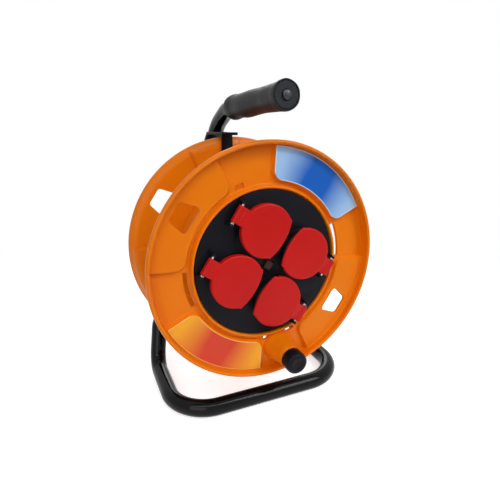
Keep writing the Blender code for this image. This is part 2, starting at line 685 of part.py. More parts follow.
def make_rear_flange():
    """The rear flange: the same skin turned round, closed in the middle and with the bearing sleeve."""
    floor = FLANGE_SPACING - BACK_DEPTH
    back = FLANGE_SPACING - HUB_RECESS_DEPTH
    web_hole = SLEEVE_RADIUS - SLEEVE_WALL / 4
    tip = floor - SPIGOT_LENGTH
    hub = [(SPIGOT_RADIUS, floor), (SPIGOT_RADIUS, tip), (SPIGOT_INNER, tip), (SPIGOT_INNER, floor),
           (web_hole, floor), (web_hole, back), (RECESS_RADIUS, back)]
    mirrored = [(radius, FLANGE_SPACING - depth) for radius, depth in hub]
    skin = flange_skin() + [(radius, depth, depth) for radius, depth in mirrored]
    mesh = flange_mesh(skin, lambda depth: FLANGE_SPACING - depth)
    flange = make_object("rear_flange", mesh, "orange_plastic")
    openings = flange_openings("rear_openings", floor - CUT_PAST, FLANGE_SPACING + CUT_PAST)
    combine(flange, openings, "DIFFERENCE")
    sleeve = ring_profile(bore(SLEEVE_BORE), SLEEVE_RADIUS, SLEEVE_FRONT, SLEEVE_REAR)
    combine(flange, turned("bearing_sleeve", None, sleeve, ROUND, at(0, 0, 0), BACK), "UNION")
    bm = bmesh.new()
    for centre in drum_screw_centres():
        hole = disc_profile(bore(DRUM_SCREW_RADIUS + GAP, SMALL), floor - CUT_PAST, back + CUT_PAST)
        turned_mesh(bm, hole, SMALL, frame_matrix(centre, BACK, UP))
    combine(flange, make_object("drum_screw_holes", bm, None), "DIFFERENCE")


def make_drum_barrel():
    """The barrel between the flanges, with the hole of the cable gland."""
    profile = ring_profile(bore(BARREL_INNER, DRUM_SIDES), BARREL_RADIUS, BARREL_FRONT, BARREL_REAR)
    barrel = turned("drum_barrel", "orange_plastic", profile, DRUM_SIDES, at(0, 0, 0), BACK)
    origin, outward = gland_place()
    hole = disc_profile(bore(GLAND_RADIUS + GAP, SMALL), -2 * BARREL_WALL, BARREL_WALL)
    combine(barrel, turned("gland_hole", None, hole, SMALL, origin, outward, BACK), "DIFFERENCE")


def gland_place():
    """The point where the gland's axis meets the barrel, and the direction out of the barrel."""
    outward = Vector((math.cos(GLAND_ANGLE), 0, math.sin(GLAND_ANGLE)))
    reach = BARREL_RADIUS * outward
    return at(reach.x, BARREL_REAR - GLAND_FROM_REAR, reach.z), outward


def make_cable_gland():
    """The gland through which the cord leaves the barrel."""
    origin, outward = gland_place()
    flange = GLAND_RADIUS + GLAND_FLANGE
    inner_end = -BARREL_WALL - GLAND_FLANGE_WALL
    face = GAP + GLAND_FLANGE_WALL
    inner = bore(GLAND_BORE, SMALL)
    profile = [(inner, inner_end), (GLAND_RADIUS, inner_end), (GLAND_RADIUS, GAP), (flange, GAP),
               (flange, face), (inner, face + GLAND_FLANGE_WALL / 2)]
    turned("cable_gland", "black_plastic", profile, SMALL, origin, outward, BACK)


def make_labels():
    """The two printed labels on the pads without a window."""
    plane = frame_matrix(at(0, 0, 0), FORWARD, Vector((1, 0, 0)))
    low = GAP - PAD_DEPTH
    inner = PAD_FACE_INNER + LABEL_MARGIN
    outer = PAD_FACE_OUTER - LABEL_MARGIN
    half = PAD_HALF_ANGLE - PAD_SIDE_ANGLE - LABEL_MARGIN / inner
    for name, finish, quarter in (("label_upper", "blue_label", 0), ("label_lower", "orange_label", 2)):
        outline = sector_outline(inner, outer, PAD_CENTRE + quarter * math.pi / 2, half, 10)
        prism(name, finish, outline, low, low + LABEL_WALL, plane)


def drum_screw_centres():
    """Points on the four tie screws' axes, at the depth of the front rim's middle."""
    turns = [SOCKET_TURN + math.pi / 2 * (quarter + 1) for quarter in range(4)]
    return [at(DRUM_SCREW_CIRCLE * math.cos(turn), 0, DRUM_SCREW_CIRCLE * math.sin(turn)) for turn in turns]


def make_drum_screws():
    """The four long screws that clamp rear flange, barrel, front flange and faceplate together."""
    post_end = FACEPLATE_DEPTH + FACEPLATE_WALL + POST_LENGTH
    seat = FLANGE_SPACING - HUB_RECESS_DEPTH + GAP
    head = seat + DRUM_SCREW_HEAD_WALL
    tip = post_end - 0.5 * POST_LENGTH
    profile = [(0, tip), (DRUM_SCREW_RADIUS, tip), (DRUM_SCREW_RADIUS, seat), (DRUM_SCREW_HEAD, seat),
               (DRUM_SCREW_HEAD, (seat + 2 * head) / 3), (0.6 * DRUM_SCREW_HEAD, head), (0, head)]
    for number, centre in enumerate(drum_screw_centres(), start=1):
        turned(f"drum_screw_{number}", "zinc_steel", profile, SMALL, centre, BACK)


# ---- sockets ----------------------------------------------------------------------------------------------
class Socket:
    """The place of one socket: its number, its centre and the direction from it to its hinge."""

    def __init__(self, number, along, across):
        self.number = number
        self.hinge_side = ALONG * along
        offset = self.hinge_side * SOCKET_PITCH_ALONG / 2 + ACROSS * (across * SOCKET_PITCH_ACROSS / 2)
        self.centre = at(offset.x, 0, offset.z)
        self.plane = frame_matrix(self.centre, FORWARD, self.hinge_side)

    def hinge_matrix(self):
        """A matrix on the hinge pin: local Z along the pin, local X away from the socket."""
        origin = self.centre + self.hinge_side * HINGE_REACH + BACK * HINGE_DEPTH
        return frame_matrix(origin, FORWARD.cross(self.hinge_side), self.hinge_side)


SOCKETS = [Socket(1, -1, 1), Socket(2, 1, 1), Socket(3, -1, -1), Socket(4, 1, -1)]


def make_faceplate():
    """The black faceplate with its collars, hinge ears, screw posts and the button's hole."""
    face = -FACEPLATE_DEPTH
    back = -(FACEPLATE_DEPTH + FACEPLATE_WALL)
    middle = (face + back) / 2
    disc = disc_profile(FACEPLATE_RADIUS, back, face)
    plate = turned("socket_faceplate", "black_plastic", disc, DRUM_SIDES, at(0, 0, 0), FORWARD)
    raised = bmesh.new()
    holes = bmesh.new()
    for socket in SOCKETS:
        collar = disc_profile(COLLAR_OUTER, middle, -COLLAR_TOP)
        turned_mesh(raised, collar, ROUND, socket.plane)
        hole = disc_profile(bore(COLLAR_INNER), back - CUT_PAST, CUT_PAST - COLLAR_TOP)
        turned_mesh(holes, hole, ROUND, socket.plane)
        pin = disc_profile(bore(HINGE_BORE, SMALL), -HINGE_PIN_HALF - CUT_PAST, HINGE_PIN_HALF + CUT_PAST)
        turned_mesh(holes, pin, SMALL, socket.hinge_matrix())
        for side in (-1, 1):
            ear_middle = side * (EAR_START + EAR_WALL / 2)
            place = socket.plane @ Matrix.Translation((HINGE_REACH, ear_middle, 0))
            ear = box_outline(EAR_HALF_LENGTH, EAR_WALL / 2)
            prism_mesh(raised, ear, middle, -HINGE_DEPTH + EAR_HALF_LENGTH, place)
    for centre in drum_screw_centres():
        post = disc_profile(POST_RADIUS, back - POST_LENGTH, middle)
        turned_mesh(raised, post, SMALL, frame_matrix(centre, FORWARD, UP))
        thread = disc_profile(bore(DRUM_SCREW_RADIUS + RUNNING, SMALL), back - POST_LENGTH - CUT_PAST,
                              back - 0.4 * POST_LENGTH)
        turned_mesh(holes, thread, SMALL, frame_matrix(centre, FORWARD, UP))
    button_hole = box_outline(BUTTON_WIDTH / 2 + BUTTON_PLAY, BUTTON_HEIGHT / 2 + BUTTON_PLAY)
    button_place = frame_matrix(at(0, 0, 0), FORWARD, ALONG)
    prism_mesh(holes, button_hole, back - CUT_PAST, face + CUT_PAST, button_place)
    combine(plate, make_object("faceplate_raised", raised, None), "UNION")
    combine(plate, make_object("faceplate_holes", holes, None), "DIFFERENCE")


def pin_offsets():
    """The two pin holes of a socket, from its centre towards its hinge."""
    return (-PIN_SPACING / 2, PIN_SPACING / 2)


def make_socket_well(socket):
    """The round cup that a plug enters, with its two pin holes."""
    inner = bore(WELL_RADIUS)
    flange = WELL_OUTER + WELL_FLANGE
    flange_front = -(FACEPLATE_DEPTH + FACEPLATE_WALL + GAP)
    flange_back = flange_front - WELL_FLANGE_WALL
    profile = [(0, -WELL_INNER_FLOOR), (inner, -WELL_INNER_FLOOR), (inner, -COLLAR_TOP),
               (WELL_OUTER, -COLLAR_TOP), (WELL_OUTER, flange_front), (flange, flange_front),
               (flange, flange_back), (WELL_OUTER, flange_back), (WELL_OUTER, -WELL_BACK), (0, -WELL_BACK)]
    well = turned(f"socket_well_{socket.number}", "black_plastic", profile, ROUND, socket.centre, FORWARD,
                  socket.hinge_side)
    holes = bmesh.new()
    for offset in pin_offsets():
        hole = disc_profile(PIN_HOLE_RADIUS, -WELL_BACK - CUT_PAST, CUT_PAST - WELL_INNER_FLOOR)
        turned_mesh(holes, hole, PIN_HOLE_SIDES, socket.plane @ Matrix.Translation((offset, 0, 0)))
    combine(well, make_object(f"pin_holes_{socket.number}", holes, None), "DIFFERENCE")


def lid_outline():
    """The lid's plan: a round edge, two proud corners and a flatter edge opposite the hinge.

    Local X points to the hinge. The tab isn't part of it.
    """
    corner_x = -LID_CORNER_RADIUS * math.cos(LID_CORNER_ANGLE)
    corner_y = LID_CORNER_RADIUS * math.sin(LID_CORNER_ANGLE)
    sagitta = LID_FRONT_REACH + corner_x
    front_radius = (corner_y ** 2 + sagitta ** 2) / (2 * sagitta)
    front_half = math.asin(corner_y / front_radius)
    round_half = math.pi - LID_CORNER_ANGLE - math.radians(9)
    round_edge = arc_points(LID_RADIUS, -round_half, round_half, 14)
    front_centre = (front_radius - LID_FRONT_REACH, 0)
    front_edge = arc_points(front_radius, math.pi - front_half, math.pi + front_half, 4, front_centre)
    return round_edge + front_edge


def make_lid(socket):
    """One sprung lid, with its skirt and its hinge knuckle."""
    name = f"lid_{socket.number}"
    lid = prism(name, "red_plastic", lid_outline(), -LID_INNER_FACE, -LID_FACE, socket.plane)
    skirt = bmesh.new()
    skirt_half = math.pi - LID_CORNER_ANGLE - math.radians(14)
    outline = sector_outline(LID_RADIUS - LID_SKIRT_WALL, LID_RADIUS - GAP, 0, skirt_half, 10)
    prism_mesh(skirt, outline, -LID_INNER_FACE - LID_SKIRT, -LID_FACE - LID_WALL / 2, socket.plane)
    combine(lid, make_object(f"lid_skirt_{socket.number}", skirt, None), "UNION")
    tab = bmesh.new()
    face = HINGE_DROP - GAP
    plate_low = face - LID_WALL
    root = LID_RADIUS - TAB_ROOT - HINGE_REACH
    tip = TAB_REACH - HINGE_REACH
    section = [(root, plate_low), (-KNUCKLE_RADIUS, plate_low)]
    section += arc_points(KNUCKLE_RADIUS, math.pi, 2 * math.pi, 6)
    section += [(tip, 0.5 * face), (0.7 * tip, face), (root, face)]
    flat = Matrix(((1, 0, 0, 0), (0, 0, -1, 0), (0, 1, 0, 0), (0, 0, 0, 1)))
    origin = socket.plane @ Matrix.Translation((HINGE_REACH, 0, -HINGE_DEPTH)) @ flat
    prism_mesh(tab, section, -TAB_HALF_WIDTH, TAB_HALF_WIDTH, origin)
    combine(lid, make_object(f"lid_tab_{socket.number}", tab, None), "UNION")
    hole = disc_profile(bore(HINGE_BORE, SMALL), -TAB_HALF_WIDTH - CUT_PAST, TAB_HALF_WIDTH + CUT_PAST)
    pin_hole = bmesh.new()
    turned_mesh(pin_hole, hole, SMALL, socket.hinge_matrix())
    combine(lid, make_object(f"lid_pin_hole_{socket.number}", pin_hole, None), "DIFFERENCE")


def make_lid_fittings(socket):
    """The pin and spring of one lid, and the gasket under it."""
    hinge = bmesh.new()
    pin = disc_profile(HINGE_PIN_RADIUS, -HINGE_PIN_HALF, HINGE_PIN_HALF)
    turned_mesh(hinge, pin, SMALL, socket.hinge_matrix())
    make_object(f"hinge_pin_{socket.number}", hinge, "zinc_steel")
    spring = bmesh.new()
    inner = bore(HINGE_PIN_RADIUS + GAP, SMALL)
    coil = ring_profile(inner, SPRING_RADIUS, SPRING_START, SPRING_START + SPRING_WIDTH)
    turned_mesh(spring, coil, SMALL, socket.hinge_matrix())
    make_object(f"lid_spring_{socket.number}", spring, "spring_steel")
    gasket = bmesh.new()
    outer = COLLAR_INNER + 0.8 * COLLAR_WALL
    ring = ring_profile(COLLAR_INNER, outer, -COLLAR_TOP + GAP, -LID_INNER_FACE - GAP)
    turned_mesh(gasket, ring, ROUND, socket.plane)
    make_object(f"lid_gasket_{socket.number}", gasket, "rubber")


def make_reset_button():
    """The push button of the thermal cut-out."""
    face = -FACEPLATE_DEPTH + BUTTON_PROUD
    place = frame_matrix(at(0, 0, 0), FORWARD, ALONG)
    outline = rounded_outline(box_outline(BUTTON_WIDTH / 2, BUTTON_HEIGHT / 2), BUTTON_ROUNDING)
    prism("reset_button", "brown_plastic", outline, face - BUTTON_LENGTH, face, place)


def make_thermal_cutout():
    """The cut-out's housing behind the faceplate, with the shaft that the button slides in."""
    front = -(FACEPLATE_DEPTH + FACEPLATE_WALL + GAP)
    place = frame_matrix(at(0, 0, 0), FORWARD, ALONG)
    housing = prism("thermal_cutout", "nylon", box_outline(CUTOUT_WIDTH / 2, CUTOUT_HEIGHT / 2),
                    front - CUTOUT_LENGTH, front, place)
    shaft = box_outline(BUTTON_WIDTH / 2 + BUTTON_PLAY, BUTTON_HEIGHT / 2 + BUTTON_PLAY)
    deep = -FACEPLATE_DEPTH + BUTTON_PROUD - BUTTON_LENGTH - BUTTON_STROKE - 2 * GAP
    combine(housing, prism("button_shaft", None, shaft, deep, front + CUT_PAST, place), "DIFFERENCE")


def contact_strip(name, offset, end_side, depth):
    """A brass strip behind the wells: two runs past a pin hole of each socket, joined at one end."""
    half_run = SOCKET_PITCH_ACROSS / 2 + STRIP_WIDTH / 2
    end = end_side * (half_run + STRIP_WIDTH)
    runs = [-SOCKET_PITCH_ALONG / 2 + offset, SOCKET_PITCH_ALONG / 2 + offset]
    half = STRIP_WIDTH / 2
    other = -end_side * half_run
    inner_end = end - end_side * STRIP_WIDTH
    outline = [(runs[0] - half, other), (runs[0] + half, other), (runs[0] + half, inner_end),
               (runs[1] - half, inner_end), (runs[1] - half, other), (runs[1] + half, other),
               (runs[1] + half, end), (runs[0] - half, end)]
    place = frame_matrix(at(0, 0, 0), FORWARD, ALONG)
    strip = prism(name, "brass", outline, -depth - STRIP_WALL, -depth, place)
    holes = bmesh.new()
    for run in runs:
        for across in (-SOCKET_PITCH_ACROSS / 2, SOCKET_PITCH_ACROSS / 2):
            hole = disc_profile(PIN_HOLE_RADIUS, -depth - STRIP_WALL - CUT_PAST, CUT_PAST - depth)
            turned_mesh(holes, hole, PIN_HOLE_SIDES, place @ Matrix.Translation((run, across, 0)))
    combine(strip, make_object(f"{name}_holes", holes, None), "DIFFERENCE")


def make_wiring():
    """The live and neutral strips, the earth strap and the terminal block."""
    depth = WELL_BACK + GAP
    contact_strip("live_strip", -PIN_SPACING / 2, 1, depth)
    contact_strip("neutral_strip", PIN_SPACING / 2, -1, depth)
    place = frame_matrix(at(0, 0, 0), FORWARD, ALONG)
    block_depth = depth + STRIP_WALL + GAP
    along = SOCKET_PITCH_ALONG / 2
    block = place @ Matrix.Translation((-along, 0, 0))
    prism("terminal_block", "nylon", box_outline(TERMINAL_LENGTH / 2, TERMINAL_WIDTH / 2),
          -block_depth - TERMINAL_HEIGHT, -block_depth, block)
    strap_depth = block_depth + TERMINAL_HEIGHT + GAP
    strap = box_outline(STRIP_WIDTH / 2, SOCKET_PITCH_ACROSS / 2 + STRIP_WIDTH / 2)
    prism("earth_strap", "brass", strap, -strap_depth - STRIP_WALL, -strap_depth, block)


# ---- winding knob -----------------------------------------------------------------------------------------
def make_crank_spindle():
    """The spindle through the boss, with the barb that the knob snaps over."""
    tip = BOSS_TOP + GAP + KNOB_LENGTH - KNOB_CROWN - GAP
    barb = tip - SPINDLE_BARB_LENGTH
    head = -BACK_DEPTH - GAP
    profile = [(0, head - SPINDLE_HEAD_WALL), (SPINDLE_HEAD_RADIUS, head - SPINDLE_HEAD_WALL),
               (SPINDLE_HEAD_RADIUS, head), (SPINDLE_RADIUS, head), (SPINDLE_RADIUS, barb),
               (SPINDLE_BARB_RADIUS, barb), (SPINDLE_RADIUS, tip), (0, tip)]
    turned("crank_spindle", "zinc_steel", profile, SMALL, crank_origin(), FORWARD)


def make_crank_knob():
    """The round knob that spins on the spindle."""
    base = BOSS_TOP + GAP
    front = base + KNOB_LENGTH
    groove = front - KNOB_CROWN
    groove_back = groove - GAP - SPINDLE_BARB_LENGTH - GAP
    neck = bore(SPINDLE_RADIUS + RUNNING)
    cavity = bore(SPINDLE_BARB_RADIUS + GAP)
    side = arc_points(KNOB_ROUNDING, 0, math.pi / 2, 3, (KNOB_RADIUS - KNOB_ROUNDING, front - KNOB_ROUNDING))
    outside = [(neck, base), (0.9 * KNOB_RADIUS, base), (KNOB_RADIUS, base + 0.1 * KNOB_RADIUS)] + side
    inside = [(cavity, groove), (cavity, groove_back), (neck, groove_back)]
    bm = bmesh.new()
    place = frame_matrix(crank_origin(), FORWARD, UP)
    rings = [[bm.verts.new(place @ point) for point in ring_points(radius, height, ROUND)]
             for radius, height in inside + outside]
    skin_rings(bm, rings, closed=False)
    bm.faces.new(rings[0])
    bm.faces.new(rings[-1])
    make_object("crank_knob", bm, "black_plastic")


# ---- axle -------------------------------------------------------------------------------------------------
def make_axle():
    """The stub axle: a journal for the bushes, a shoulder at the frame plate and a thread behind it."""
    shoulder = PLATE_FRONT - GAP
    step = shoulder - AXLE_SHOULDER
    washer_rear = BUSH_FRONT - GAP
    washer_front = washer_rear - WASHER_WALL
    clip_rear = washer_front - GAP
    clip_front = clip_rear - CLIP_WALL
    groove = AXLE_RADIUS - AXLE_GROOVE
    chamfer = 0.6 * MM
    profile = [(0, AXLE_FRONT), (AXLE_RADIUS - chamfer, AXLE_FRONT), (AXLE_RADIUS, AXLE_FRONT + chamfer),
               (AXLE_RADIUS, clip_front - GAP), (groove, clip_front - GAP), (groove, clip_rear + GAP),
               (AXLE_RADIUS, clip_rear + GAP), (AXLE_RADIUS, step), (COLLAR_RADIUS, step),
               (COLLAR_RADIUS, shoulder), (AXLE_THREAD_RADIUS, shoulder), (AXLE_THREAD_RADIUS, AXLE_REAR),
               (0, AXLE_REAR)]
    turned("axle", "zinc_steel", profile, ROUND, at(0, 0, 0), BACK)
    washer = ring_profile(bore(AXLE_RADIUS + RUNNING), COLLAR_RADIUS, washer_front, washer_rear)
    turned("axle_washer", "zinc_steel", washer, ROUND, at(0, 0, 0), BACK)
    clip = ring_profile(bore(groove + RUNNING), COLLAR_RADIUS - WASHER_WALL, clip_front, clip_rear)
    turned("axle_clip", "spring_steel", clip, ROUND, at(0, 0, 0), BACK)
    nut = ring_profile(bore(AXLE_THREAD_RADIUS + RUNNING, NUT_SIDES), 1.85 * AXLE_THREAD_RADIUS, NUT_FRONT,
                       NUT_FRONT + NUT_WALL)
    turned("axle_nut", "zinc_steel", nut, NUT_SIDES, at(0, 0, 0), BACK)


def make_bushes():
    """The two collared bushes pressed into the sleeve."""
    inner = bore(AXLE_RADIUS + RUNNING)
    outer = AXLE_RADIUS + RUNNING + BUSH_WALL
    seats = (("axle_bush_front", SLEEVE_FRONT, BACK), ("axle_bush_rear", SLEEVE_REAR, FORWARD))
    for name, seat, inward in seats:
        profile = [(inner, -GAP - BUSH_COLLAR), (SLEEVE_RADIUS, -GAP - BUSH_COLLAR), (SLEEVE_RADIUS, -GAP),
                   (outer, -GAP), (outer, BUSH_LENGTH), (inner, BUSH_LENGTH)]
        turned(name, "nylon", profile, ROUND, at(0, seat, 0), inward)


# ---- frame ------------------------------------------------------------------------------------------------
def leg_corners(side):
    """The corners of one leg, from its top beside the axle down to the front run of the base."""
    lean = Vector((-side * LEG_LEAN_IN, LEG_LEAN_BACK, LEG_LEAN_HEIGHT))
    rear_corner = at(side * BASE_HALF_WIDTH, BASE_REAR, FLOOR)
    bend = at(side * LEG_SPACING, FRAME_DEPTH, -PLATE_HALF_HEIGHT - LEG_BEND_DROP)
    return [at(side * LEG_SPACING, FRAME_DEPTH, LEG_TOP), bend, rear_corner + lean, rear_corner,
            at(side * BASE_HALF_WIDTH, BASE_FRONT, FLOOR)]


def make_base_loop():
    """The floor loop and both legs, bent from one tube."""
    left = leg_corners(-1)
    right = leg_corners(1)
    radii = [LEG_TOP_RADIUS, LEG_KNEE_RADIUS, LEG_FOOT_RADIUS, BASE_CORNER_RADIUS]
    path = rounded_path(left + right[::-1], radii + radii[::-1])
    tube = bent_tube("base_loop_tube", "black_paint", path, len(path) // 2, UP)
    holes = bmesh.new()
    for side in (-1, 1):
        hole = disc_profile(bore(BOLT_RADIUS + GAP, SMALL), -2 * TUBE_RADIUS, 2 * TUBE_RADIUS)
        turned_mesh(holes, hole, SMALL, frame_matrix(at(side * LEG_SPACING, FRAME_DEPTH, 0), BACK, UP))
    combine(tube, make_object("leg_bolt_holes", holes, None), "DIFFERENCE")


def make_upper_tube():
    """The upright behind the drum, bent forward over it into the handle."""
    path = [point + at(0, 0, 0) for point in upright_path()]
    tube = bent_tube("upper_frame_tube", "black_paint", path, 0, Vector((1, 0, 0)))
    hole = disc_profile(bore(AXLE_THREAD_RADIUS + GAP, SMALL), -2 * TUBE_RADIUS, 2 * TUBE_RADIUS)
    combine(tube, turned("axle_hole", None, hole, SMALL, at(0, FRAME_DEPTH, 0), BACK), "DIFFERENCE")
    seat, outward = clip_screw_seat()
    hole = disc_profile(bore(CLIP_SCREW_RADIUS + GAP, SMALL), -TUBE_RADIUS, CUT_PAST)
    combine(tube, turned("clip_screw_tube_hole", None, hole, SMALL, seat, outward), "DIFFERENCE")


def make_grip():
    """The moulded grip over the tube's end, the insert in the tube and the screw that holds them."""
    front, along = grip_axis()
    front += at(0, 0, 0)
    inner = bore(TUBE_REACH + GAP, ROUND)
    screw_hole = bore(GRIP_SCREW_RADIUS + GAP)
    belly = GRIP_RADIUS
    end_band = GRIP_LENGTH - GRIP_END_BAND
    profile = [(screw_hole, 0), (0.92 * GRIP_END_RADIUS, 0), (GRIP_END_RADIUS, 0.2 * GRIP_END_BAND),
               (GRIP_END_RADIUS, GRIP_END_BAND), (belly, GRIP_END_BAND + GRIP_BAND_SLOPE),
               (0.97 * belly, 0.35 * GRIP_LENGTH), (1.04 * belly, 0.55 * GRIP_LENGTH),
               (0.96 * belly, 0.8 * GRIP_LENGTH), (belly, end_band - GRIP_BAND_SLOPE),
               (GRIP_END_RADIUS, end_band), (GRIP_END_RADIUS, GRIP_LENGTH), (inner, GRIP_LENGTH),
               (inner, GRIP_END_WALL), (screw_hole, GRIP_END_WALL)]
    turned("hand_grip", "grip_plastic", profile, ROUND, front, along)
    tube_inner = TUBE_RADIUS - TUBE_WALL - GAP
    insert_front = GRIP_END_WALL + GAP
    pilot = bore(GRIP_SCREW_RADIUS + RUNNING, SMALL)
    insert = ring_profile(pilot, tube_inner, insert_front, insert_front + 2 * PLUG_STEM)
    turned("grip_insert", "black_plastic", insert, SMALL, front, along)
    make_screw("grip_screw", GRIP_SCREW_RADIUS, insert_front + 1.5 * PLUG_STEM, front, -along)


def make_screw(name, radius, length, seat, outward):
    """A pan-headed screw whose head rests on the seat and whose shank goes in from there."""
    head_radius = 1.7 * radius
    head = GAP + 0.7 * radius
    profile = [(0, -length), (radius, -length), (radius, GAP), (head_radius, GAP),
               (head_radius, (GAP + head) / 2), (0.6 * head_radius, head), (0, head)]
    turned(name, "zinc_steel", profile, SMALL, seat, outward)


def make_tube_plug(name, end, outward):
    """The plastic plug in an open tube end."""
    stem = TUBE_RADIUS - TUBE_WALL - GAP
    profile = [(0, -PLUG_STEM), (stem, -PLUG_STEM), (stem, GAP), (TUBE_RADIUS, GAP),
               (TUBE_RADIUS, 0.6 * PLUG_RIM), (0.7 * TUBE_RADIUS, PLUG_RIM), (0, PLUG_RIM)]
    turned(name, "black_plastic", profile, SMALL, end, outward, BACK)


def make_axle_plate():
    """The steel plate that joins legs, upright and axle."""
    outline = rounded_outline(box_outline(PLATE_HALF_WIDTH, PLATE_HALF_HEIGHT), PLATE_CORNER)
    place = frame_matrix(at(0, 0, 0), BACK, Vector((1, 0, 0)))
    plate = prism("axle_plate", "black_paint", outline, PLATE_FRONT, PLATE_REAR, place)
    holes = bmesh.new()
    for x, radius in ((-LEG_SPACING, BOLT_RADIUS), (0, AXLE_THREAD_RADIUS), (LEG_SPACING, BOLT_RADIUS)):
        hole = disc_profile(bore(radius + GAP, SMALL), PLATE_FRONT - CUT_PAST, PLATE_REAR + CUT_PAST)
        turned_mesh(holes, hole, SMALL, frame_matrix(at(x, 0, 0), BACK, UP))
    combine(plate, make_object("plate_holes", holes, None), "DIFFERENCE")


def make_frame_bolts():
    """The bolt and nut through each leg and the plate."""
    head = NUT_FRONT
    tip = PLATE_FRONT - GAP - NUT_WALL - THREAD_END
    top = head + BOLT_HEAD_WALL
    bolt = [(0, tip), (BOLT_RADIUS, tip), (BOLT_RADIUS, head), (BOLT_HEAD_RADIUS, head),
            (BOLT_HEAD_RADIUS, top - 0.6 * BOLT_HEAD_WALL), (0.6 * BOLT_HEAD_RADIUS, top), (0, top)]
    for name, side in (("left", -1), ("right", 1)):
        place = at(side * LEG_SPACING, 0, 0)
        turned(f"frame_bolt_{name}", "zinc_steel", bolt, SMALL, place, BACK)
        nut = ring_profile(bore(BOLT_RADIUS + RUNNING, NUT_SIDES), 1.9 * BOLT_RADIUS,
                           PLATE_FRONT - GAP - NUT_WALL, PLATE_FRONT - GAP)
        turned(f"frame_nut_{name}", "zinc_steel", nut, NUT_SIDES, place, BACK)


def depth_at(points, height):
    """The depth where a line of points from the axle passes a height."""
    for before, after in zip(points, points[1:]):
        if before.z <= height <= after.z:
            return before.y + (after.y - before.y) * (height - before.z) / (after.z - before.z)
    return points[-1].y


def clip_screw_seat():
    """The point on the upright's front where the clip's screw goes in, and the direction out of it."""
    surface = upright_side(TUBE_RADIUS)
    depth = depth_at(surface, CLIP_SCREW_HEIGHT)
    outward = Vector((0, -1, (depth - depth_at(surface, CLIP_SCREW_HEIGHT - CUT_PAST)) / CUT_PAST))
    return at(0, depth, CLIP_SCREW_HEIGHT), outward.normalized()


def make_cable_clip():
    """The clip on the upright that reaches over the rear rim and hooks down in front of it, and its screw."""
    under = CLIP_TOP - CLIP_PLATE
    bottom = CLIP_TOP - CLIP_LEG
    face = upright_side(TUBE_RADIUS + GAP + CLIP_PLATE)
    back = upright_side(TUBE_RADIUS + GAP)
    section = [(CLIP_LEG_FRONT, CLIP_TOP), (CLIP_LEG_FRONT, under), (depth_at(face, under), under)]
    section += [(point.y, point.z) for point in reversed(face) if CLIP_STRAP_BOTTOM < point.z < under]
    section += [(depth_at(side, CLIP_STRAP_BOTTOM), CLIP_STRAP_BOTTOM) for side in (face, back)]
    section += [(point.y, point.z) for point in back if CLIP_STRAP_BOTTOM < point.z < CLIP_TOP]
    section += [(depth_at(back, CLIP_TOP), CLIP_TOP)]
    place = frame_matrix(at(0, 0, 0), Vector((1, 0, 0)), BACK)
    clip = prism("cable_clip", "black_plastic", section, CLIP_LEFT, CLIP_RIGHT, place)
    front = CLIP_LEG_FRONT + GAP
    rear = front + CLIP_PLATE
    leg = [(front, bottom), (rear, bottom), (rear, under + CLIP_PLATE / 2), (front, under + CLIP_PLATE / 2)]
    leg_right = CLIP_LEFT + CLIP_LEG_WIDTH
    combine(clip, prism("clip_leg", None, leg, CLIP_LEFT + GAP, leg_right, place), "UNION")
    lip_rear = rear - GAP
    lip_top = bottom + CLIP_LIP
    lip = [(front + GAP, bottom + GAP), (lip_rear, bottom + GAP), (lip_rear, lip_top), (front + GAP, lip_top)]
    combine(clip, prism("clip_lip", None, lip, leg_right - CLIP_PLATE, CLIP_RIGHT, place), "UNION")
    seat, outward = clip_screw_seat()
    hole = disc_profile(bore(CLIP_SCREW_RADIUS + GAP, SMALL), -CUT_PAST, 2 * CLIP_PLATE)
    combine(clip, turned("clip_screw_hole", None, hole, SMALL, seat, outward), "DIFFERENCE")
    head_seat = seat + outward * (GAP + CLIP_PLATE)
    make_screw("clip_screw", CLIP_SCREW_RADIUS, CLIP_SCREW_LENGTH, head_seat, outward)


# ---- whole reel -------------------------------------------------------------------------------------------
def clear_scene():
    """Removes whatever the scene held."""
    for found in list(bpy.data.objects):
        bpy.data.objects.remove(found, do_unlink=True)


def make_pivot(name, origin, nodes, parent=None):
    """An empty on a joint's axis that carries the pieces which move about it."""
    pivot = bpy.data.objects.new(name, None)
    bpy.context.scene.collection.objects.link(pivot)
    pivot.location = origin
    if parent:
        carry(parent, parent.location, [pivot])
    carry(pivot, origin, [bpy.data.objects[node] for node in nodes])
    return pivot


def carry(pivot, origin, pieces):
    """Parents pieces to a pivot where they are."""
    for piece in pieces:
        piece.parent = pivot
        piece.matrix_parent_inverse = Matrix.Translation(-origin)


def make_pivots():
    """The pivots of the drum, and on it those of the lids, the knob and the button."""
    numbered = ("hinge_pin", "lid_spring", "socket_well", "drum_screw")
    nodes = [f"{kind}_{number}" for kind in numbered for number in range(1, len(SOCKETS) + 1)]
    nodes += ["front_flange", "rear_flange", "drum_barrel", "cable_gland", "label_upper", "label_lower",
              "axle_bush_front", "axle_bush_rear", "socket_faceplate", "thermal_cutout", "live_strip",
              "neutral_strip", "terminal_block", "earth_strap", "crank_spindle"]
    drum = make_pivot("drum_pivot", at(0, 0, 0), nodes)
    for socket in SOCKETS:
        lid = [f"lid_{socket.number}", f"lid_gasket_{socket.number}"]
        make_pivot(f"lid_pivot_{socket.number}", socket.hinge_matrix().translation, lid, drum)
    make_pivot("knob_pivot", crank_origin(), ["crank_knob"], drum)
    make_pivot("button_pivot", at(0, 0, 0), ["reset_button"], drum)


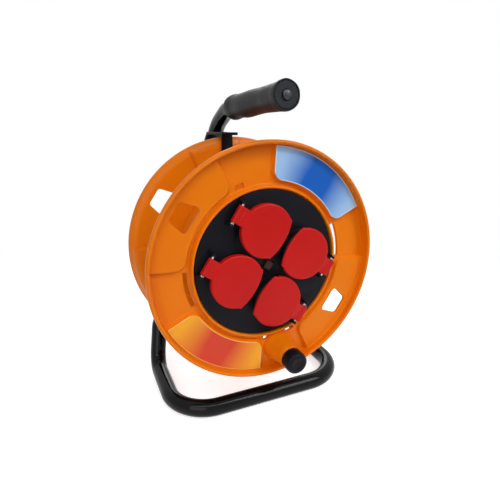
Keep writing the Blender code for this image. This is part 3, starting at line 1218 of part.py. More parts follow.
def make_drum():
    """Everything that turns with the drum, and what moves on it."""
    make_front_flange()
    make_rear_flange()
    make_drum_barrel()
    make_cable_gland()
    make_labels()
    make_drum_screws()
    make_bushes()
    make_faceplate()
    for socket in SOCKETS:
        make_socket_well(socket)
        make_lid(socket)
        make_lid_fittings(socket)
    make_reset_button()
    make_thermal_cutout()
    make_wiring()
    make_crank_spindle()
    make_crank_knob()


def make_frame():
    """The tube frame, its plate and axle, the handle and the clip."""
    make_base_loop()
    make_upper_tube()
    make_grip()
    make_axle_plate()
    make_axle()
    make_frame_bolts()
    make_tube_plug("leg_plug_left", at(-LEG_SPACING, FRAME_DEPTH, LEG_TOP), UP)
    make_tube_plug("leg_plug_right", at(LEG_SPACING, FRAME_DEPTH, LEG_TOP), UP)
    make_tube_plug("upright_plug", at(0, FRAME_DEPTH, -PLATE_HALF_HEIGHT), -UP)
    make_cable_clip()


clear_scene()
make_frame()
make_drum()
make_pivots()
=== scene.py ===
"""Looks of an extension cord reel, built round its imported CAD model.

Each sub-assembly is a class that builds its meshes in the frame of the part, in metres, and gives every
piece its finish. Lengths that belong to the drum are written from the axle: across, depth from the middle
of the front rim towards the back, and height.
"""

import json
import logging
import math
from dataclasses import dataclass, field
from enum import Enum
from typing import Callable, Optional, Sequence, Union

import bmesh
import bpy
from mathutils import Matrix, Vector


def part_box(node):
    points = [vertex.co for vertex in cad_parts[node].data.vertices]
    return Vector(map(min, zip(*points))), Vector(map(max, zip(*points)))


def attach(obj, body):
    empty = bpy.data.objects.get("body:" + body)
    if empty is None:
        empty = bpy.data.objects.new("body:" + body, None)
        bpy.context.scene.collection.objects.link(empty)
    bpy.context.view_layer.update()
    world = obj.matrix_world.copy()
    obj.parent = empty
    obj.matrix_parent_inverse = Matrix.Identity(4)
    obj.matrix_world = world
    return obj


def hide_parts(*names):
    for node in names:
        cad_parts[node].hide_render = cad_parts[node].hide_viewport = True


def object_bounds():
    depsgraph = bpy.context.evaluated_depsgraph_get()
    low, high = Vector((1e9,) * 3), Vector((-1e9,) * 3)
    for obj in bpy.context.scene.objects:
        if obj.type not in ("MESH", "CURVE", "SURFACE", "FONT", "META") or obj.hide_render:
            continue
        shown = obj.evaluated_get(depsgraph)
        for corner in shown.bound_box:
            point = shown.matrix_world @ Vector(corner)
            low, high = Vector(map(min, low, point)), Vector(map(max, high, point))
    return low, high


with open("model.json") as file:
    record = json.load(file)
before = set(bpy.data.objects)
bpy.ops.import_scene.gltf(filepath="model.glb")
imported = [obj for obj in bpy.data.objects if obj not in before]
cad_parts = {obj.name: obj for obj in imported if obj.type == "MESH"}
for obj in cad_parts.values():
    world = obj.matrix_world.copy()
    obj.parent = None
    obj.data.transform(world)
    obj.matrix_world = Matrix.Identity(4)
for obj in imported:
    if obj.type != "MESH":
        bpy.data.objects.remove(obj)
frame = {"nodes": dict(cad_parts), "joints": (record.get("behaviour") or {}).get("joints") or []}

LOG = logging.getLogger("cord_reel")
CAD_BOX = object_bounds()
MM = 0.001
QUARTER_TURN = math.pi / 2
FORWARD = Vector((0, -1, 0))
BACK = Vector((0, 1, 0))
RIGHT = Vector((1, 0, 0))
UP = Vector((0, 0, 1))

Pair = tuple[float, float]
Row = tuple[float, float, float]
Colour = tuple[float, float, float]

BLACK: Colour = (0.0, 0.0, 0.0)
WHITE: Colour = (1.0, 1.0, 1.0)


# ---- places in the frame -------------------------------------------------------------------------
def joint_origin(name: str) -> Vector:
    """The point that a joint turns or slides about.

    Args:
        name: The joint's name in the record.

    Returns:
        The joint's position in the part's frame.
    """
    found = next(joint for joint in frame["joints"] if joint["name"] == name)
    return Vector(found["pos_m"])


AXLE = joint_origin("drum_spin")


def at(across: float, depth: float, height: float) -> Vector:
    """A point given from the axle, with depth counted from the middle of the front rim."""
    return AXLE + Vector((across, depth, height))


def placed(origin: Vector, axis: Vector, side: Vector) -> Matrix:
    """A matrix whose local Z runs along axis and whose local X leans towards side.

    Args:
        origin: Where the local origin lies.
        axis: Direction of local Z.
        side: Direction near local X.

    Returns:
        The 4 x 4 matrix.
    """
    axis = axis.normalized()
    side = (side - axis * side.dot(axis)).normalized()
    turn = Matrix((side, axis.cross(side), axis)).transposed()
    return Matrix.Translation(origin) @ turn.to_4x4()


# ---- shader graphs -------------------------------------------------------------------------------
class Signal:
    """One output of a shader node, which takes part in Python expressions on numbers."""

    def __init__(self, graph: "Graph", socket: bpy.types.NodeSocket) -> None:
        """Keeps the graph and the socket."""
        self.graph = graph
        self.socket = socket

    def maths(self, operation: str, *values: Union["Signal", float], clamp: bool = False) -> "Signal":
        """Adds a Math node.

        Args:
            operation: The node's operation.
            values: Its operands, in order.
            clamp: Whether the result is held between 0 and 1.

        Returns:
            The node's result.
        """
        settings = {"operation": operation, "use_clamp": clamp}
        return self.graph.node("ShaderNodeMath", settings, dict(enumerate(values)))

    def __add__(self, other: Union["Signal", float]) -> "Signal":
        """self + other."""
        return self.maths("ADD", self, other)

    def __radd__(self, other: float) -> "Signal":
        """other + self."""
        return self.maths("ADD", other, self)

    def __sub__(self, other: Union["Signal", float]) -> "Signal":
        """self - other."""
        return self.maths("SUBTRACT", self, other)

    def __rsub__(self, other: float) -> "Signal":
        """other - self."""
        return self.maths("SUBTRACT", other, self)

    def __mul__(self, other: Union["Signal", float]) -> "Signal":
        """self * other."""
        return self.maths("MULTIPLY", self, other)

    def __rmul__(self, other: float) -> "Signal":
        """other * self."""
        return self.maths("MULTIPLY", other, self)

    def __truediv__(self, other: Union["Signal", float]) -> "Signal":
        """self / other."""
        return self.maths("DIVIDE", self, other)

    def __rtruediv__(self, other: float) -> "Signal":
        """other / self."""
        return self.maths("DIVIDE", other, self)

    def __abs__(self) -> "Signal":
        """The size of the value."""
        return self.maths("ABSOLUTE", self)

    def between(self, low: float, high: float) -> "Signal":
        """A smooth step of the value.

        Args:
            low: The value that gives 0.
            high: The value that gives 1.

        Returns:
            A value from 0 to 1.
        """
        settings = {"interpolation_type": "SMOOTHSTEP"}
        inputs = {"Value": self, "From Min": low, "From Max": high, "To Min": 0.0, "To Max": 1.0}
        return self.graph.node("ShaderNodeMapRange", settings, inputs)


Value = Union[Signal, float, Colour, Vector]


class Graph:
    """The node tree of one material or of the world."""

    def __init__(self, tree: bpy.types.NodeTree) -> None:
        """Empties the tree."""
        self.tree = tree
        tree.nodes.clear()

    def node(self, kind: str, settings: Optional[dict] = None, inputs: Optional[dict] = None,
             output: Union[int, str] = 0) -> Signal:
        """Adds any node.

        Args:
            kind: The node's type.
            settings: Its properties, set first; "stops" are a ramp's (position, colour) pairs.
            inputs: Values or signals for its sockets, by name or number.
            output: Which output is returned.

        Returns:
            The chosen output.
        """
        made = self.tree.nodes.new(kind)
        for name, value in (settings or {}).items():
            if name == "stops":
                self._set_stops(made.color_ramp, value)
            else:
                setattr(made, name, value)
        for key, value in (inputs or {}).items():
            if isinstance(value, Signal):
                self.tree.links.new(value.socket, made.inputs[key])
            elif isinstance(value, tuple) and len(value) == 3 and made.inputs[key].type == "RGBA":
                made.inputs[key].default_value = (*value, 1.0)
            else:
                made.inputs[key].default_value = value
        return Signal(self, made.outputs[output]) if made.outputs else Signal(self, None)

    @staticmethod
    def _set_stops(ramp: bpy.types.ColorRamp, stops: Sequence[tuple[float, Colour]]) -> None:
        """Writes a ramp's stops."""
        while len(ramp.elements) < len(stops):
            ramp.elements.new(0.5)
        for element, (position, colour) in zip(ramp.elements, stops):
            element.position = position
            element.color = (*colour, 1.0)

    def place(self) -> Signal:
        """Coordinates fixed to the piece, in metres."""
        return self.node("ShaderNodeTexCoord", output="Object")

    def noise(self, scale: float, detail: float = 2.0, stretch: Optional[Vector] = None) -> Signal:
        """Noise over the piece.

        Args:
            scale: Cells per metre.
            detail: Octaves.
            stretch: Scale of each axis, for a drawn or brushed look.

        Returns:
            A value about 0.5.
        """
        where = self.place()
        if stretch is not None:
            where = self.node("ShaderNodeVectorMath", {"operation": "MULTIPLY"}, {0: where, 1: stretch})
        return self.node("ShaderNodeTexNoise", {}, {"Vector": where, "Scale": scale, "Detail": detail})

    def white_rays(self) -> Signal:
        """Marks the rays that see the studio as white.

        Returns:
            1 for rays from the camera, off gloss and through clear parts, and 0 for the rest.
        """
        rays = [self.node("ShaderNodeLightPath", output=f"Is {kind} Ray")
                for kind in ("Camera", "Glossy", "Transmission")]
        return rays[0].maths("MAXIMUM", rays[0], rays[1].maths("MAXIMUM", rays[1], rays[2]))

    def blend(self, share: Value, first: Value, second: Value) -> Signal:
        """A colour between two others."""
        return self.node("ShaderNodeMix", {"data_type": "RGBA"}, {0: share, 6: first, 7: second}, output=2)

    def bump(self, height: Signal, strength: float, distance: float) -> Signal:
        """A normal raised by a height."""
        inputs = {"Height": height, "Strength": strength, "Distance": distance}
        return self.node("ShaderNodeBump", {}, inputs, output="Normal")

    def surface(self, inputs: dict) -> Signal:
        """A Principled shader."""
        return self.node("ShaderNodeBsdfPrincipled", {}, inputs)

    def finish(self, shader: Signal, kind: str = "ShaderNodeOutputMaterial") -> None:
        """Links the shader to the tree's output."""
        self.node(kind, {}, {"Surface": shader})


# ---- finishes ------------------------------------------------------------------------------------
@dataclass(frozen=True)
class Finish:
    """A named finish that builds its material once."""

    name: str
    colour: Colour
    roughness: float

    def shader(self, graph: Graph) -> Signal:
        """The finish's shader."""
        return graph.surface({"Base Color": self.colour, "Roughness": self.roughness})

    def material(self) -> bpy.types.Material:
        """The finish's material, made when it is first used.

        Returns:
            The material.
        """
        made = bpy.data.materials.get(self.name)
        if made is None:
            made = bpy.data.materials.new(self.name)
            made.use_nodes = True
            graph = Graph(made.node_tree)
            graph.finish(self.shader(graph))
            made.diffuse_color = (*self.colour, 1.0)
        return made


@dataclass(frozen=True)
class MouldedPlastic(Finish):
    """Injection-moulded plastic: a slightly uneven colour, fine texture and a few dull rubbed patches."""

    shade: Colour = BLACK
    grain: float = 2600.0
    grain_height: float = 0.00004
    gloss_level: float = 0.5

    def shader(self, graph: Graph) -> Signal:
        """The finish's shader.

        Args:
            graph: The material's node tree.

        Returns:
            The shader's output.
        """
        flow = graph.noise(16.0, 3.0)
        speck = graph.noise(900.0, 1.0)
        share = flow.between(0.38, 0.72) * 0.4 + speck.between(0.55, 0.8) * 0.12
        rubbed = graph.noise(42.0, 4.0).between(0.56, 0.74)
        rough = self.roughness + rubbed * 0.1 + speck * 0.04
        normal = graph.bump(graph.noise(self.grain, 2.0) + flow * 3.0, 0.35, self.grain_height)
        return graph.surface({"Base Color": graph.blend(share, self.colour, self.shade), "Roughness": rough,
                              "Normal": normal, "Specular IOR Level": self.gloss_level})


@dataclass(frozen=True)
class GlossPaint(Finish):
    """Powder-coated tube: gloss black with orange peel and faint scuffs."""

    peel: float = 420.0
    gloss_level: float = 0.15

    def shader(self, graph: Graph) -> Signal:
        """The finish's shader.

        Args:
            graph: The material's node tree.

        Returns:
            The shader's output.
        """
        scuffs = graph.noise(60.0, 6.0, Vector((1.0, 1.0, 3.0))).between(0.6, 0.78)
        tone = graph.blend(scuffs * 0.25, self.colour, tuple(part * 2.2 + 0.004 for part in self.colour))
        normal = graph.bump(graph.noise(self.peel, 2.0), 0.16, 0.0004)
        return graph.surface({"Base Color": tone, "Roughness": self.roughness + scuffs * 0.16,
                              "Normal": normal, "Specular IOR Level": self.gloss_level})


@dataclass(frozen=True)
class PlatedMetal(Finish):
    """Plated or bare metal with fine drawn lines and cloudy tarnish."""

    tarnish: Colour = (0.3, 0.3, 0.3)

    def shader(self, graph: Graph) -> Signal:
        """The finish's shader.

        Args:
            graph: The material's node tree.

        Returns:
            The shader's output.
        """
        cloud = graph.noise(220.0, 3.0).between(0.4, 0.75)
        lines = graph.noise(1500.0, 2.0, Vector((1.0, 6.0, 1.0)))
        normal = graph.bump(lines, 0.2, 0.00005)
        return graph.surface({"Base Color": graph.blend(cloud * 0.5, self.colour, self.tarnish),
                              "Metallic": 1.0, "Roughness": self.roughness + cloud * 0.15,
                              "Normal": normal})


@dataclass(frozen=True)
class SoftGrip(Finish):
    """Soft-touch moulding: matte, with a leathery grain."""

    shade: Colour = BLACK

    def shader(self, graph: Graph) -> Signal:
        """The finish's shader.

        Args:
            graph: The material's node tree.

        Returns:
            The shader's output.
        """
        cells = graph.node("ShaderNodeTexVoronoi", {"feature": "DISTANCE_TO_EDGE"},
                           {"Vector": graph.place(), "Scale": 950.0}, output="Distance")
        worn = graph.noise(38.0, 4.0).between(0.45, 0.7)
        normal = graph.bump(cells.between(0.0, 0.25) + graph.noise(1800.0), 0.5, 0.00006)
        return graph.surface({"Base Color": graph.blend(worn, self.colour, self.shade),
                              "Roughness": self.roughness - worn * 0.14, "Normal": normal,
                              "Specular IOR Level": 0.2})


@dataclass(frozen=True)
class PrintedFilm(Finish):
    """A label film whose print runs from its ends to another colour in the middle, with a pale border."""

    middle: Colour = BLACK
    border: Colour = WHITE
    centre_angle: float = 0.0
    half_angle: float = 0.5
    inner: float = 0.08
    outer: float = 0.11

    def shader(self, graph: Graph) -> Signal:
        """The finish's shader.

        Args:
            graph: The material's node tree.

        Returns:
            The shader's output.
        """
        parts = {}
        where = graph.node("ShaderNodeVectorMath", {"operation": "SUBTRACT"}, {0: graph.place(), 1: AXLE})
        for axis in "XYZ":
            parts[axis] = graph.node("ShaderNodeSeparateXYZ", {}, {"Vector": where}, output=axis)
        across, height = parts["X"], parts["Z"]
        ahead = across * math.cos(self.centre_angle) + height * math.sin(self.centre_angle)
        aside = height * math.cos(self.centre_angle) - across * math.sin(self.centre_angle)
        turn = ahead.maths("ARCTAN2", aside, ahead)
        reach = ahead.maths("SQRT", ahead * ahead + aside * aside)
        drift = graph.noise(30.0, 2.0) * 0.16 - 0.08
        along = abs(turn) / self.half_angle + drift + (reach - self.inner) * 4.0
        between = tuple((a + b) / 2 for a, b in zip(self.middle, self.colour))
        stops = [(0.0, self.middle), (0.32, self.middle), (0.62, between), (0.95, self.colour)]
        printed = graph.node("ShaderNodeValToRGB", {"stops": stops}, {"Fac": along}, output="Color")
        side = (self.half_angle - abs(turn)) * reach
        edge = side.maths("MINIMUM", side, reach.maths("MINIMUM", self.outer - reach, reach - self.inner))
        line = 1.0 - edge.between(0.0007, 0.0012)
        tone = graph.blend(line * 0.75, printed, self.border)
        normal = graph.bump(graph.noise(240.0, 2.0), 0.1, 0.0002)
        return graph.surface({"Base Color": tone, "Roughness": self.roughness, "Normal": normal,
                              "Specular IOR Level": 0.25})


@dataclass(frozen=True)
class StudioFloor(Finish):
    """A pale floor that reads white and keeps a soft shadow."""

    lift: float = 0.65
    white_from: float = 0.3
    white_at: float = 0.75

    def shader(self, graph: Graph) -> Signal:
        """The finish's shader.

        Args:
            graph: The material's node tree.

        Returns:
            The shader's output.
        """
        seen = graph.white_rays()
        mottle = graph.noise(3.0, 2.0)
        tone = graph.blend(mottle * 0.04, self.colour, tuple(part * 0.96 for part in self.colour))
        lit = graph.surface({"Base Color": tone, "Roughness": self.roughness, "Specular IOR Level": 0.1,
                             "Emission Color": graph.blend(seen * self.lift, BLACK, WHITE),
                             "Emission Strength": 1.0})
        white = graph.node("ShaderNodeEmission", {},
                           {"Color": graph.blend(seen, BLACK, WHITE), "Strength": 1.0})
        distance = graph.node("ShaderNodeVectorMath", {"operation": "LENGTH"}, {0: graph.place()},
                              output="Value")
        far = distance.between(self.white_from, self.white_at)
        return graph.node("ShaderNodeMixShader", {}, {0: far, 1: lit, 2: white})


class Palette(Enum):
    """The finishes of the reel."""

    ORANGE = MouldedPlastic("orange_shell", (0.79, 0.19, 0.001), 0.33, shade=(0.7, 0.145, 0.001),
                            gloss_level=0.18)
    DISC = MouldedPlastic("black_moulding", (0.005, 0.005, 0.008), 0.36, shade=(0.008, 0.008, 0.011),
                          grain=3200.0, gloss_level=0.09)
    RED = MouldedPlastic("red_lid", (0.52, 0.007, 0.005), 0.36, shade=(0.44, 0.005, 0.004), grain=3000.0,
                         gloss_level=0.18)
    BUTTON = MouldedPlastic("button_brown", (0.05, 0.016, 0.012), 0.3, shade=(0.03, 0.01, 0.008),
                            gloss_level=0.15)
    TUBE = GlossPaint("gloss_black_tube", (0.002, 0.002, 0.003), 0.08)
    GRIP = SoftGrip("soft_grip", (0.014, 0.015, 0.016), 0.56, shade=(0.02, 0.022, 0.024))
    END_CAP = SoftGrip("grip_end_cap", (0.008, 0.011, 0.014), 0.5, shade=(0.012, 0.015, 0.019))
    ZINC = PlatedMetal("zinc_plate", (0.5, 0.5, 0.52), 0.3, tarnish=(0.34, 0.33, 0.3))
    SPRING = PlatedMetal("spring_wire", (0.36, 0.36, 0.38), 0.24, tarnish=(0.22, 0.22, 0.22))
    # Near-black finish for the grip screw: painted shade, so the screw shows as dim as the recess it sits
    # in.
    BLACKED = PlatedMetal("grip_screw_painted_shade", (0.06, 0.06, 0.065), 0.35, tarnish=(0.03, 0.03, 0.03))
    BRASS = PlatedMetal("brass_strip", (0.75, 0.5, 0.18), 0.28, tarnish=(0.5, 0.3, 0.1))
    NYLON = MouldedPlastic("white_nylon", (0.72, 0.71, 0.66), 0.45, shade=(0.62, 0.6, 0.54))
    RUBBER = SoftGrip("gasket_rubber", (0.012, 0.012, 0.013), 0.72, shade=(0.02, 0.02, 0.02))

    def material(self) -> bpy.types.Material:
        """The finish's material."""
        return self.value.material()


# ---- mesh building -------------------------------------------------------------------------------
def smooth_step(value: float) -> float:
    """0 below 0, 1 above 1 and a smooth rise between."""
    value = min(1.0, max(0.0, value))
    return value * value * (3 - 2 * value)


def arc(radius: float, start: float, end: float, steps: int, centre: Pair = (0.0, 0.0)) -> list[Pair]:
    """Points along an arc, both ends included.

    Args:
        radius: The arc's radius.
        start: The first point's angle.
        end: The last point's angle.
        steps: How many stretches it has.
        centre: Its centre.

    Returns:
        The points.
    """
    turns = [start + (end - start) * step / steps for step in range(steps + 1)]
    return [(centre[0] + radius * math.cos(turn), centre[1] + radius * math.sin(turn)) for turn in turns]


def full_turn(sides: int) -> list[float]:
    """Evenly spaced angles round a circle."""
    return [2 * math.pi * step / sides for step in range(sides)]


def rod(radius: float, start: float, end: float) -> list[Pair]:
    """The (radius, height) profile of a plain rod."""
    return [(0.0, start), (radius, start), (radius, end), (0.0, end)]


def rectangle(half_wide: float, half_high: float) -> list[Pair]:
    """The corners of a rectangle about the origin."""
    right, top = half_wide, half_high
    return [(-right, -top), (right, -top), (right, top), (-right, top)]


def ring_about(place: Matrix, radius: float, height: float, turns: Sequence[float]) -> list[Vector]:
    """A round ring about local Z."""
    return [place @ Vector((radius * math.cos(t), radius * math.sin(t), height)) for t in turns]


def eased(points: Sequence[Pair], radius: float, steps: int = 4, closed: bool = True) -> list[Pair]:
    """A plane line whose corners are rounded as far as its edges allow.

    Args:
        points: The corners in order.
        radius: The wanted corner radius.
        steps: Points along each rounding.
        closed: Whether the last point joins the first.

    Returns:
        The rounded line.
    """
    line: list[Pair] = []
    count = len(points)
    for index, point in enumerate(points):
        corner = Vector(point)
        if not closed and index in (0, count - 1):
            line.append((corner.x, corner.y))
            continue
        before = Vector(points[index - 1]) - corner
        after = Vector(points[(index + 1) % count]) - corner
        half = before.angle(after) / 2 if before.length * after.length > 1e-14 else math.pi / 2
        if half > math.radians(86):
            line.append((corner.x, corner.y))
            continue
        cut = min(radius / math.tan(half), 0.45 * before.length, 0.45 * after.length)
        start = corner + before.normalized() * cut
        end = corner + after.normalized() * cut
        for step in range(steps + 1):
            share = step / steps
            point_on = start * (1 - share) ** 2 + corner * 2 * share * (1 - share) + end * share ** 2
            line.append((point_on.x, point_on.y))
    return line


def grown(outline: Sequence[Pair], by: float) -> list[Pair]:
    """A closed outline moved outward.

    Args:
        outline: Its points, anticlockwise.
        by: The distance outward.

    Returns:
        The moved outline.
    """
    moved = []
    count = len(outline)
    for index, point in enumerate(outline):
        before = Vector(outline[index - 1])
        after = Vector(outline[(index + 1) % count])
        along = (after - before).normalized()
        moved.append((point[0] + along.y * by, point[1] - along.x * by))
    return moved


def turning_sign(outline: Sequence[Pair]) -> float:
    """Positive for an outline that runs anticlockwise."""
    pairs = zip(outline, list(outline[1:]) + [outline[0]])
    return sum(a[0] * b[1] - b[0] * a[1] for a, b in pairs)


class Shape:
    """A mesh under construction, in the part's frame."""

    def __init__(self) -> None:
        """Starts empty."""
        self.bm = bmesh.new()

    def skin(self, rings: Sequence[Sequence[Vector]], closed: bool = False, caps: bool = True) -> "Shape":
        """Skins rings of points with quads.

        Args:
            rings: Rings with the same number of points.
            closed: Whether the last ring joins the first.
            caps: Whether open ends are closed with flat faces.

        Returns:
            This shape.
        """
        made = [[self.bm.verts.new(point) for point in ring] for ring in rings]
        count = len(made) if closed else len(made) - 1
        for index in range(count):
            ring, following = made[index], made[(index + 1) % len(made)]
            for corner in range(len(ring)):
                after = (corner + 1) % len(ring)
                self.bm.faces.new((ring[corner], ring[after], following[after], following[corner]))
        if caps and not closed:
            self.bm.faces.new(made[0][::-1])
            self.bm.faces.new(made[-1])
        return self

    def turned(self, profile: Sequence[Pair], matrix: Matrix, sides: int = 64) -> "Shape":
        """Turns a profile about local Z.

        Args:
            profile: Its (radius, height) points. Radius 0 at both ends makes it solid.
            matrix: Its place.
            sides: Points round it.

        Returns:
            This shape.
        """
        solid = profile[0][0] == 0
        line = profile[1:-1] if solid else profile
        rings = [ring_about(matrix, radius, height, full_turn(sides)) for radius, height in line]
        return self.skin(rings, closed=not solid)

    def prism(self, outline: Sequence[Pair], levels: Sequence[Pair], matrix: Matrix) -> "Shape":
        """Stacks one outline at several levels.

        Args:
            outline: The outline in local X and Y.
            levels: The (height, growth) of each level.
            matrix: Its place.

        Returns:
            This shape.
        """
        if turning_sign(outline) < 0:
            outline = list(outline)[::-1]
        rings = []
        for height, growth in levels:
            line = grown(outline, growth) if growth else outline
            rings.append([matrix @ Vector((x, y, height)) for x, y in line])
        return self.skin(rings)

    def swept(self, path: Sequence[Vector], radius: float, normal: Vector, sides: int = 32,
              wall: float = 0.0) -> "Shape":
        """A round bar, or a tube with a wall, along a path.

        Args:
            path: Points of the middle line.
            radius: Outside radius.
            normal: A direction across the first stretch.
            sides: Points round the section.
            wall: Wall of a tube, or 0 for a bar.

        Returns:
            This shape.
        """
        frames = []
        for index, point in enumerate(path):
            ahead = path[min(index + 1, len(path) - 1)]
            behind = path[max(index - 1, 0)]
            tangent = ((ahead - point).normalized() + (point - behind).normalized()).normalized()
            normal = (normal - tangent * normal.dot(tangent)).normalized()
            frames.append((point, normal.copy(), tangent.cross(normal)))
        turns = full_turn(sides)

        def ring(place: tuple[Vector, Vector, Vector], reach: float) -> list[Vector]:
            """One ring about a point of the path."""
            point, first, second = place
            return [point + (first * math.cos(t) + second * math.sin(t)) * reach for t in turns]

        outer = [ring(place, radius) for place in frames]
        if not wall:
            return self.skin(outer)
        inner = [ring(place, radius - wall) for place in frames[::-1]]
        return self.skin(outer + inner, closed=True)

    def to_object(self, name: str) -> bpy.types.Object:
        """Closes the shape and links it to the scene.

        Args:
            name: The object's name.

        Returns:
            The object.
        """
        bmesh.ops.recalc_face_normals(self.bm, faces=self.bm.faces)
        mesh = bpy.data.meshes.new(name)
        self.bm.to_mesh(mesh)
        self.bm.free()
        made = bpy.data.objects.new(name, mesh)
        bpy.context.scene.collection.objects.link(made)
        return made


class Operation(Enum):
    """How one solid changes another."""

    CUT = "DIFFERENCE"
    JOIN = "UNION"
    TRIM = "INTERSECT"


def combine(target: bpy.types.Object, other: Shape, operation: Operation) -> None:
    """Cuts a shape from an object, joins it on or trims the object to it.

    Args:
        target: The object that is changed.
        other: The shape, which is used up.
        operation: Whether it is cut away, joined or kept as the outer limit.
    """
    tool = other.to_object("tool")
    change = target.modifiers.new("change", "BOOLEAN")
    change.operation = operation.value
    change.solver = "EXACT"
    change.object = tool
    held = bpy.context.evaluated_depsgraph_get()
    result = bpy.data.meshes.new_from_object(target.evaluated_get(held))
    target.modifiers.clear()
    old = target.data
    target.data = result
    bpy.data.meshes.remove(old)
    bpy.data.objects.remove(tool)


def shade(piece: bpy.types.Object, angle: float = 34.0) -> None:
    """Shades a piece smooth.

    Args:
        piece: The piece's object.
        angle: Edges sharper than this, in degrees, stay sharp.
    """
    mesh = piece.data
    for polygon in mesh.polygons:
        polygon.use_smooth = True
    mesh.set_sharp_from_angle(angle=math.radians(angle))


@dataclass
class Assembly:
    """A group of pieces that ride on one body."""

    body: str

    def add(self, piece: bpy.types.Object, finish: Palette, slot: str, *nodes: str,
            angle: float = 34.0, body: Optional[str] = None) -> bpy.types.Object:
        """Finishes a piece and hangs it on its body.

        Args:
            piece: The piece's object.
            finish: Its finish.
            slot: The record's material slot; it is not used.
            nodes: CAD nodes that it stands for.
            angle: Edges sharper than this, in degrees, stay sharp.
            body: The body, where it isn't the assembly's own.

        Returns:
            The piece.
        """
        piece.data.materials.clear()
        piece.data.materials.append(finish.material())
        shade(piece, angle)
        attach(piece, body or self.body)
        if nodes:
            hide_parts(*nodes)
        LOG.info("%s on %s, %d faces", piece.name, body or self.body, len(piece.data.polygons))
        return piece


def catmull(points: Sequence[Pair], steps: int) -> list[Pair]:
    """A smooth line through points, both ends included.

    Args:
        points: The points in order.
        steps: Stretches from point to point.

    Returns:
        The line.
    """
    line = []
    for index in range(len(points) - 1):
        p0 = Vector(points[max(index - 1, 0)])
        p1, p2 = Vector(points[index]), Vector(points[index + 1])
        p3 = Vector(points[min(index + 2, len(points) - 1)])
        for step in range(steps):
            t = step / steps
            value = (p1 * 2 + (p2 - p0) * t + (p0 * 2 - p1 * 5 + p2 * 4 - p3) * t * t
                     + (p1 * 3 - p0 - p2 * 3 + p3) * t ** 3) / 2
            line.append((value.x, value.y))
    return line + [tuple(points[-1])]


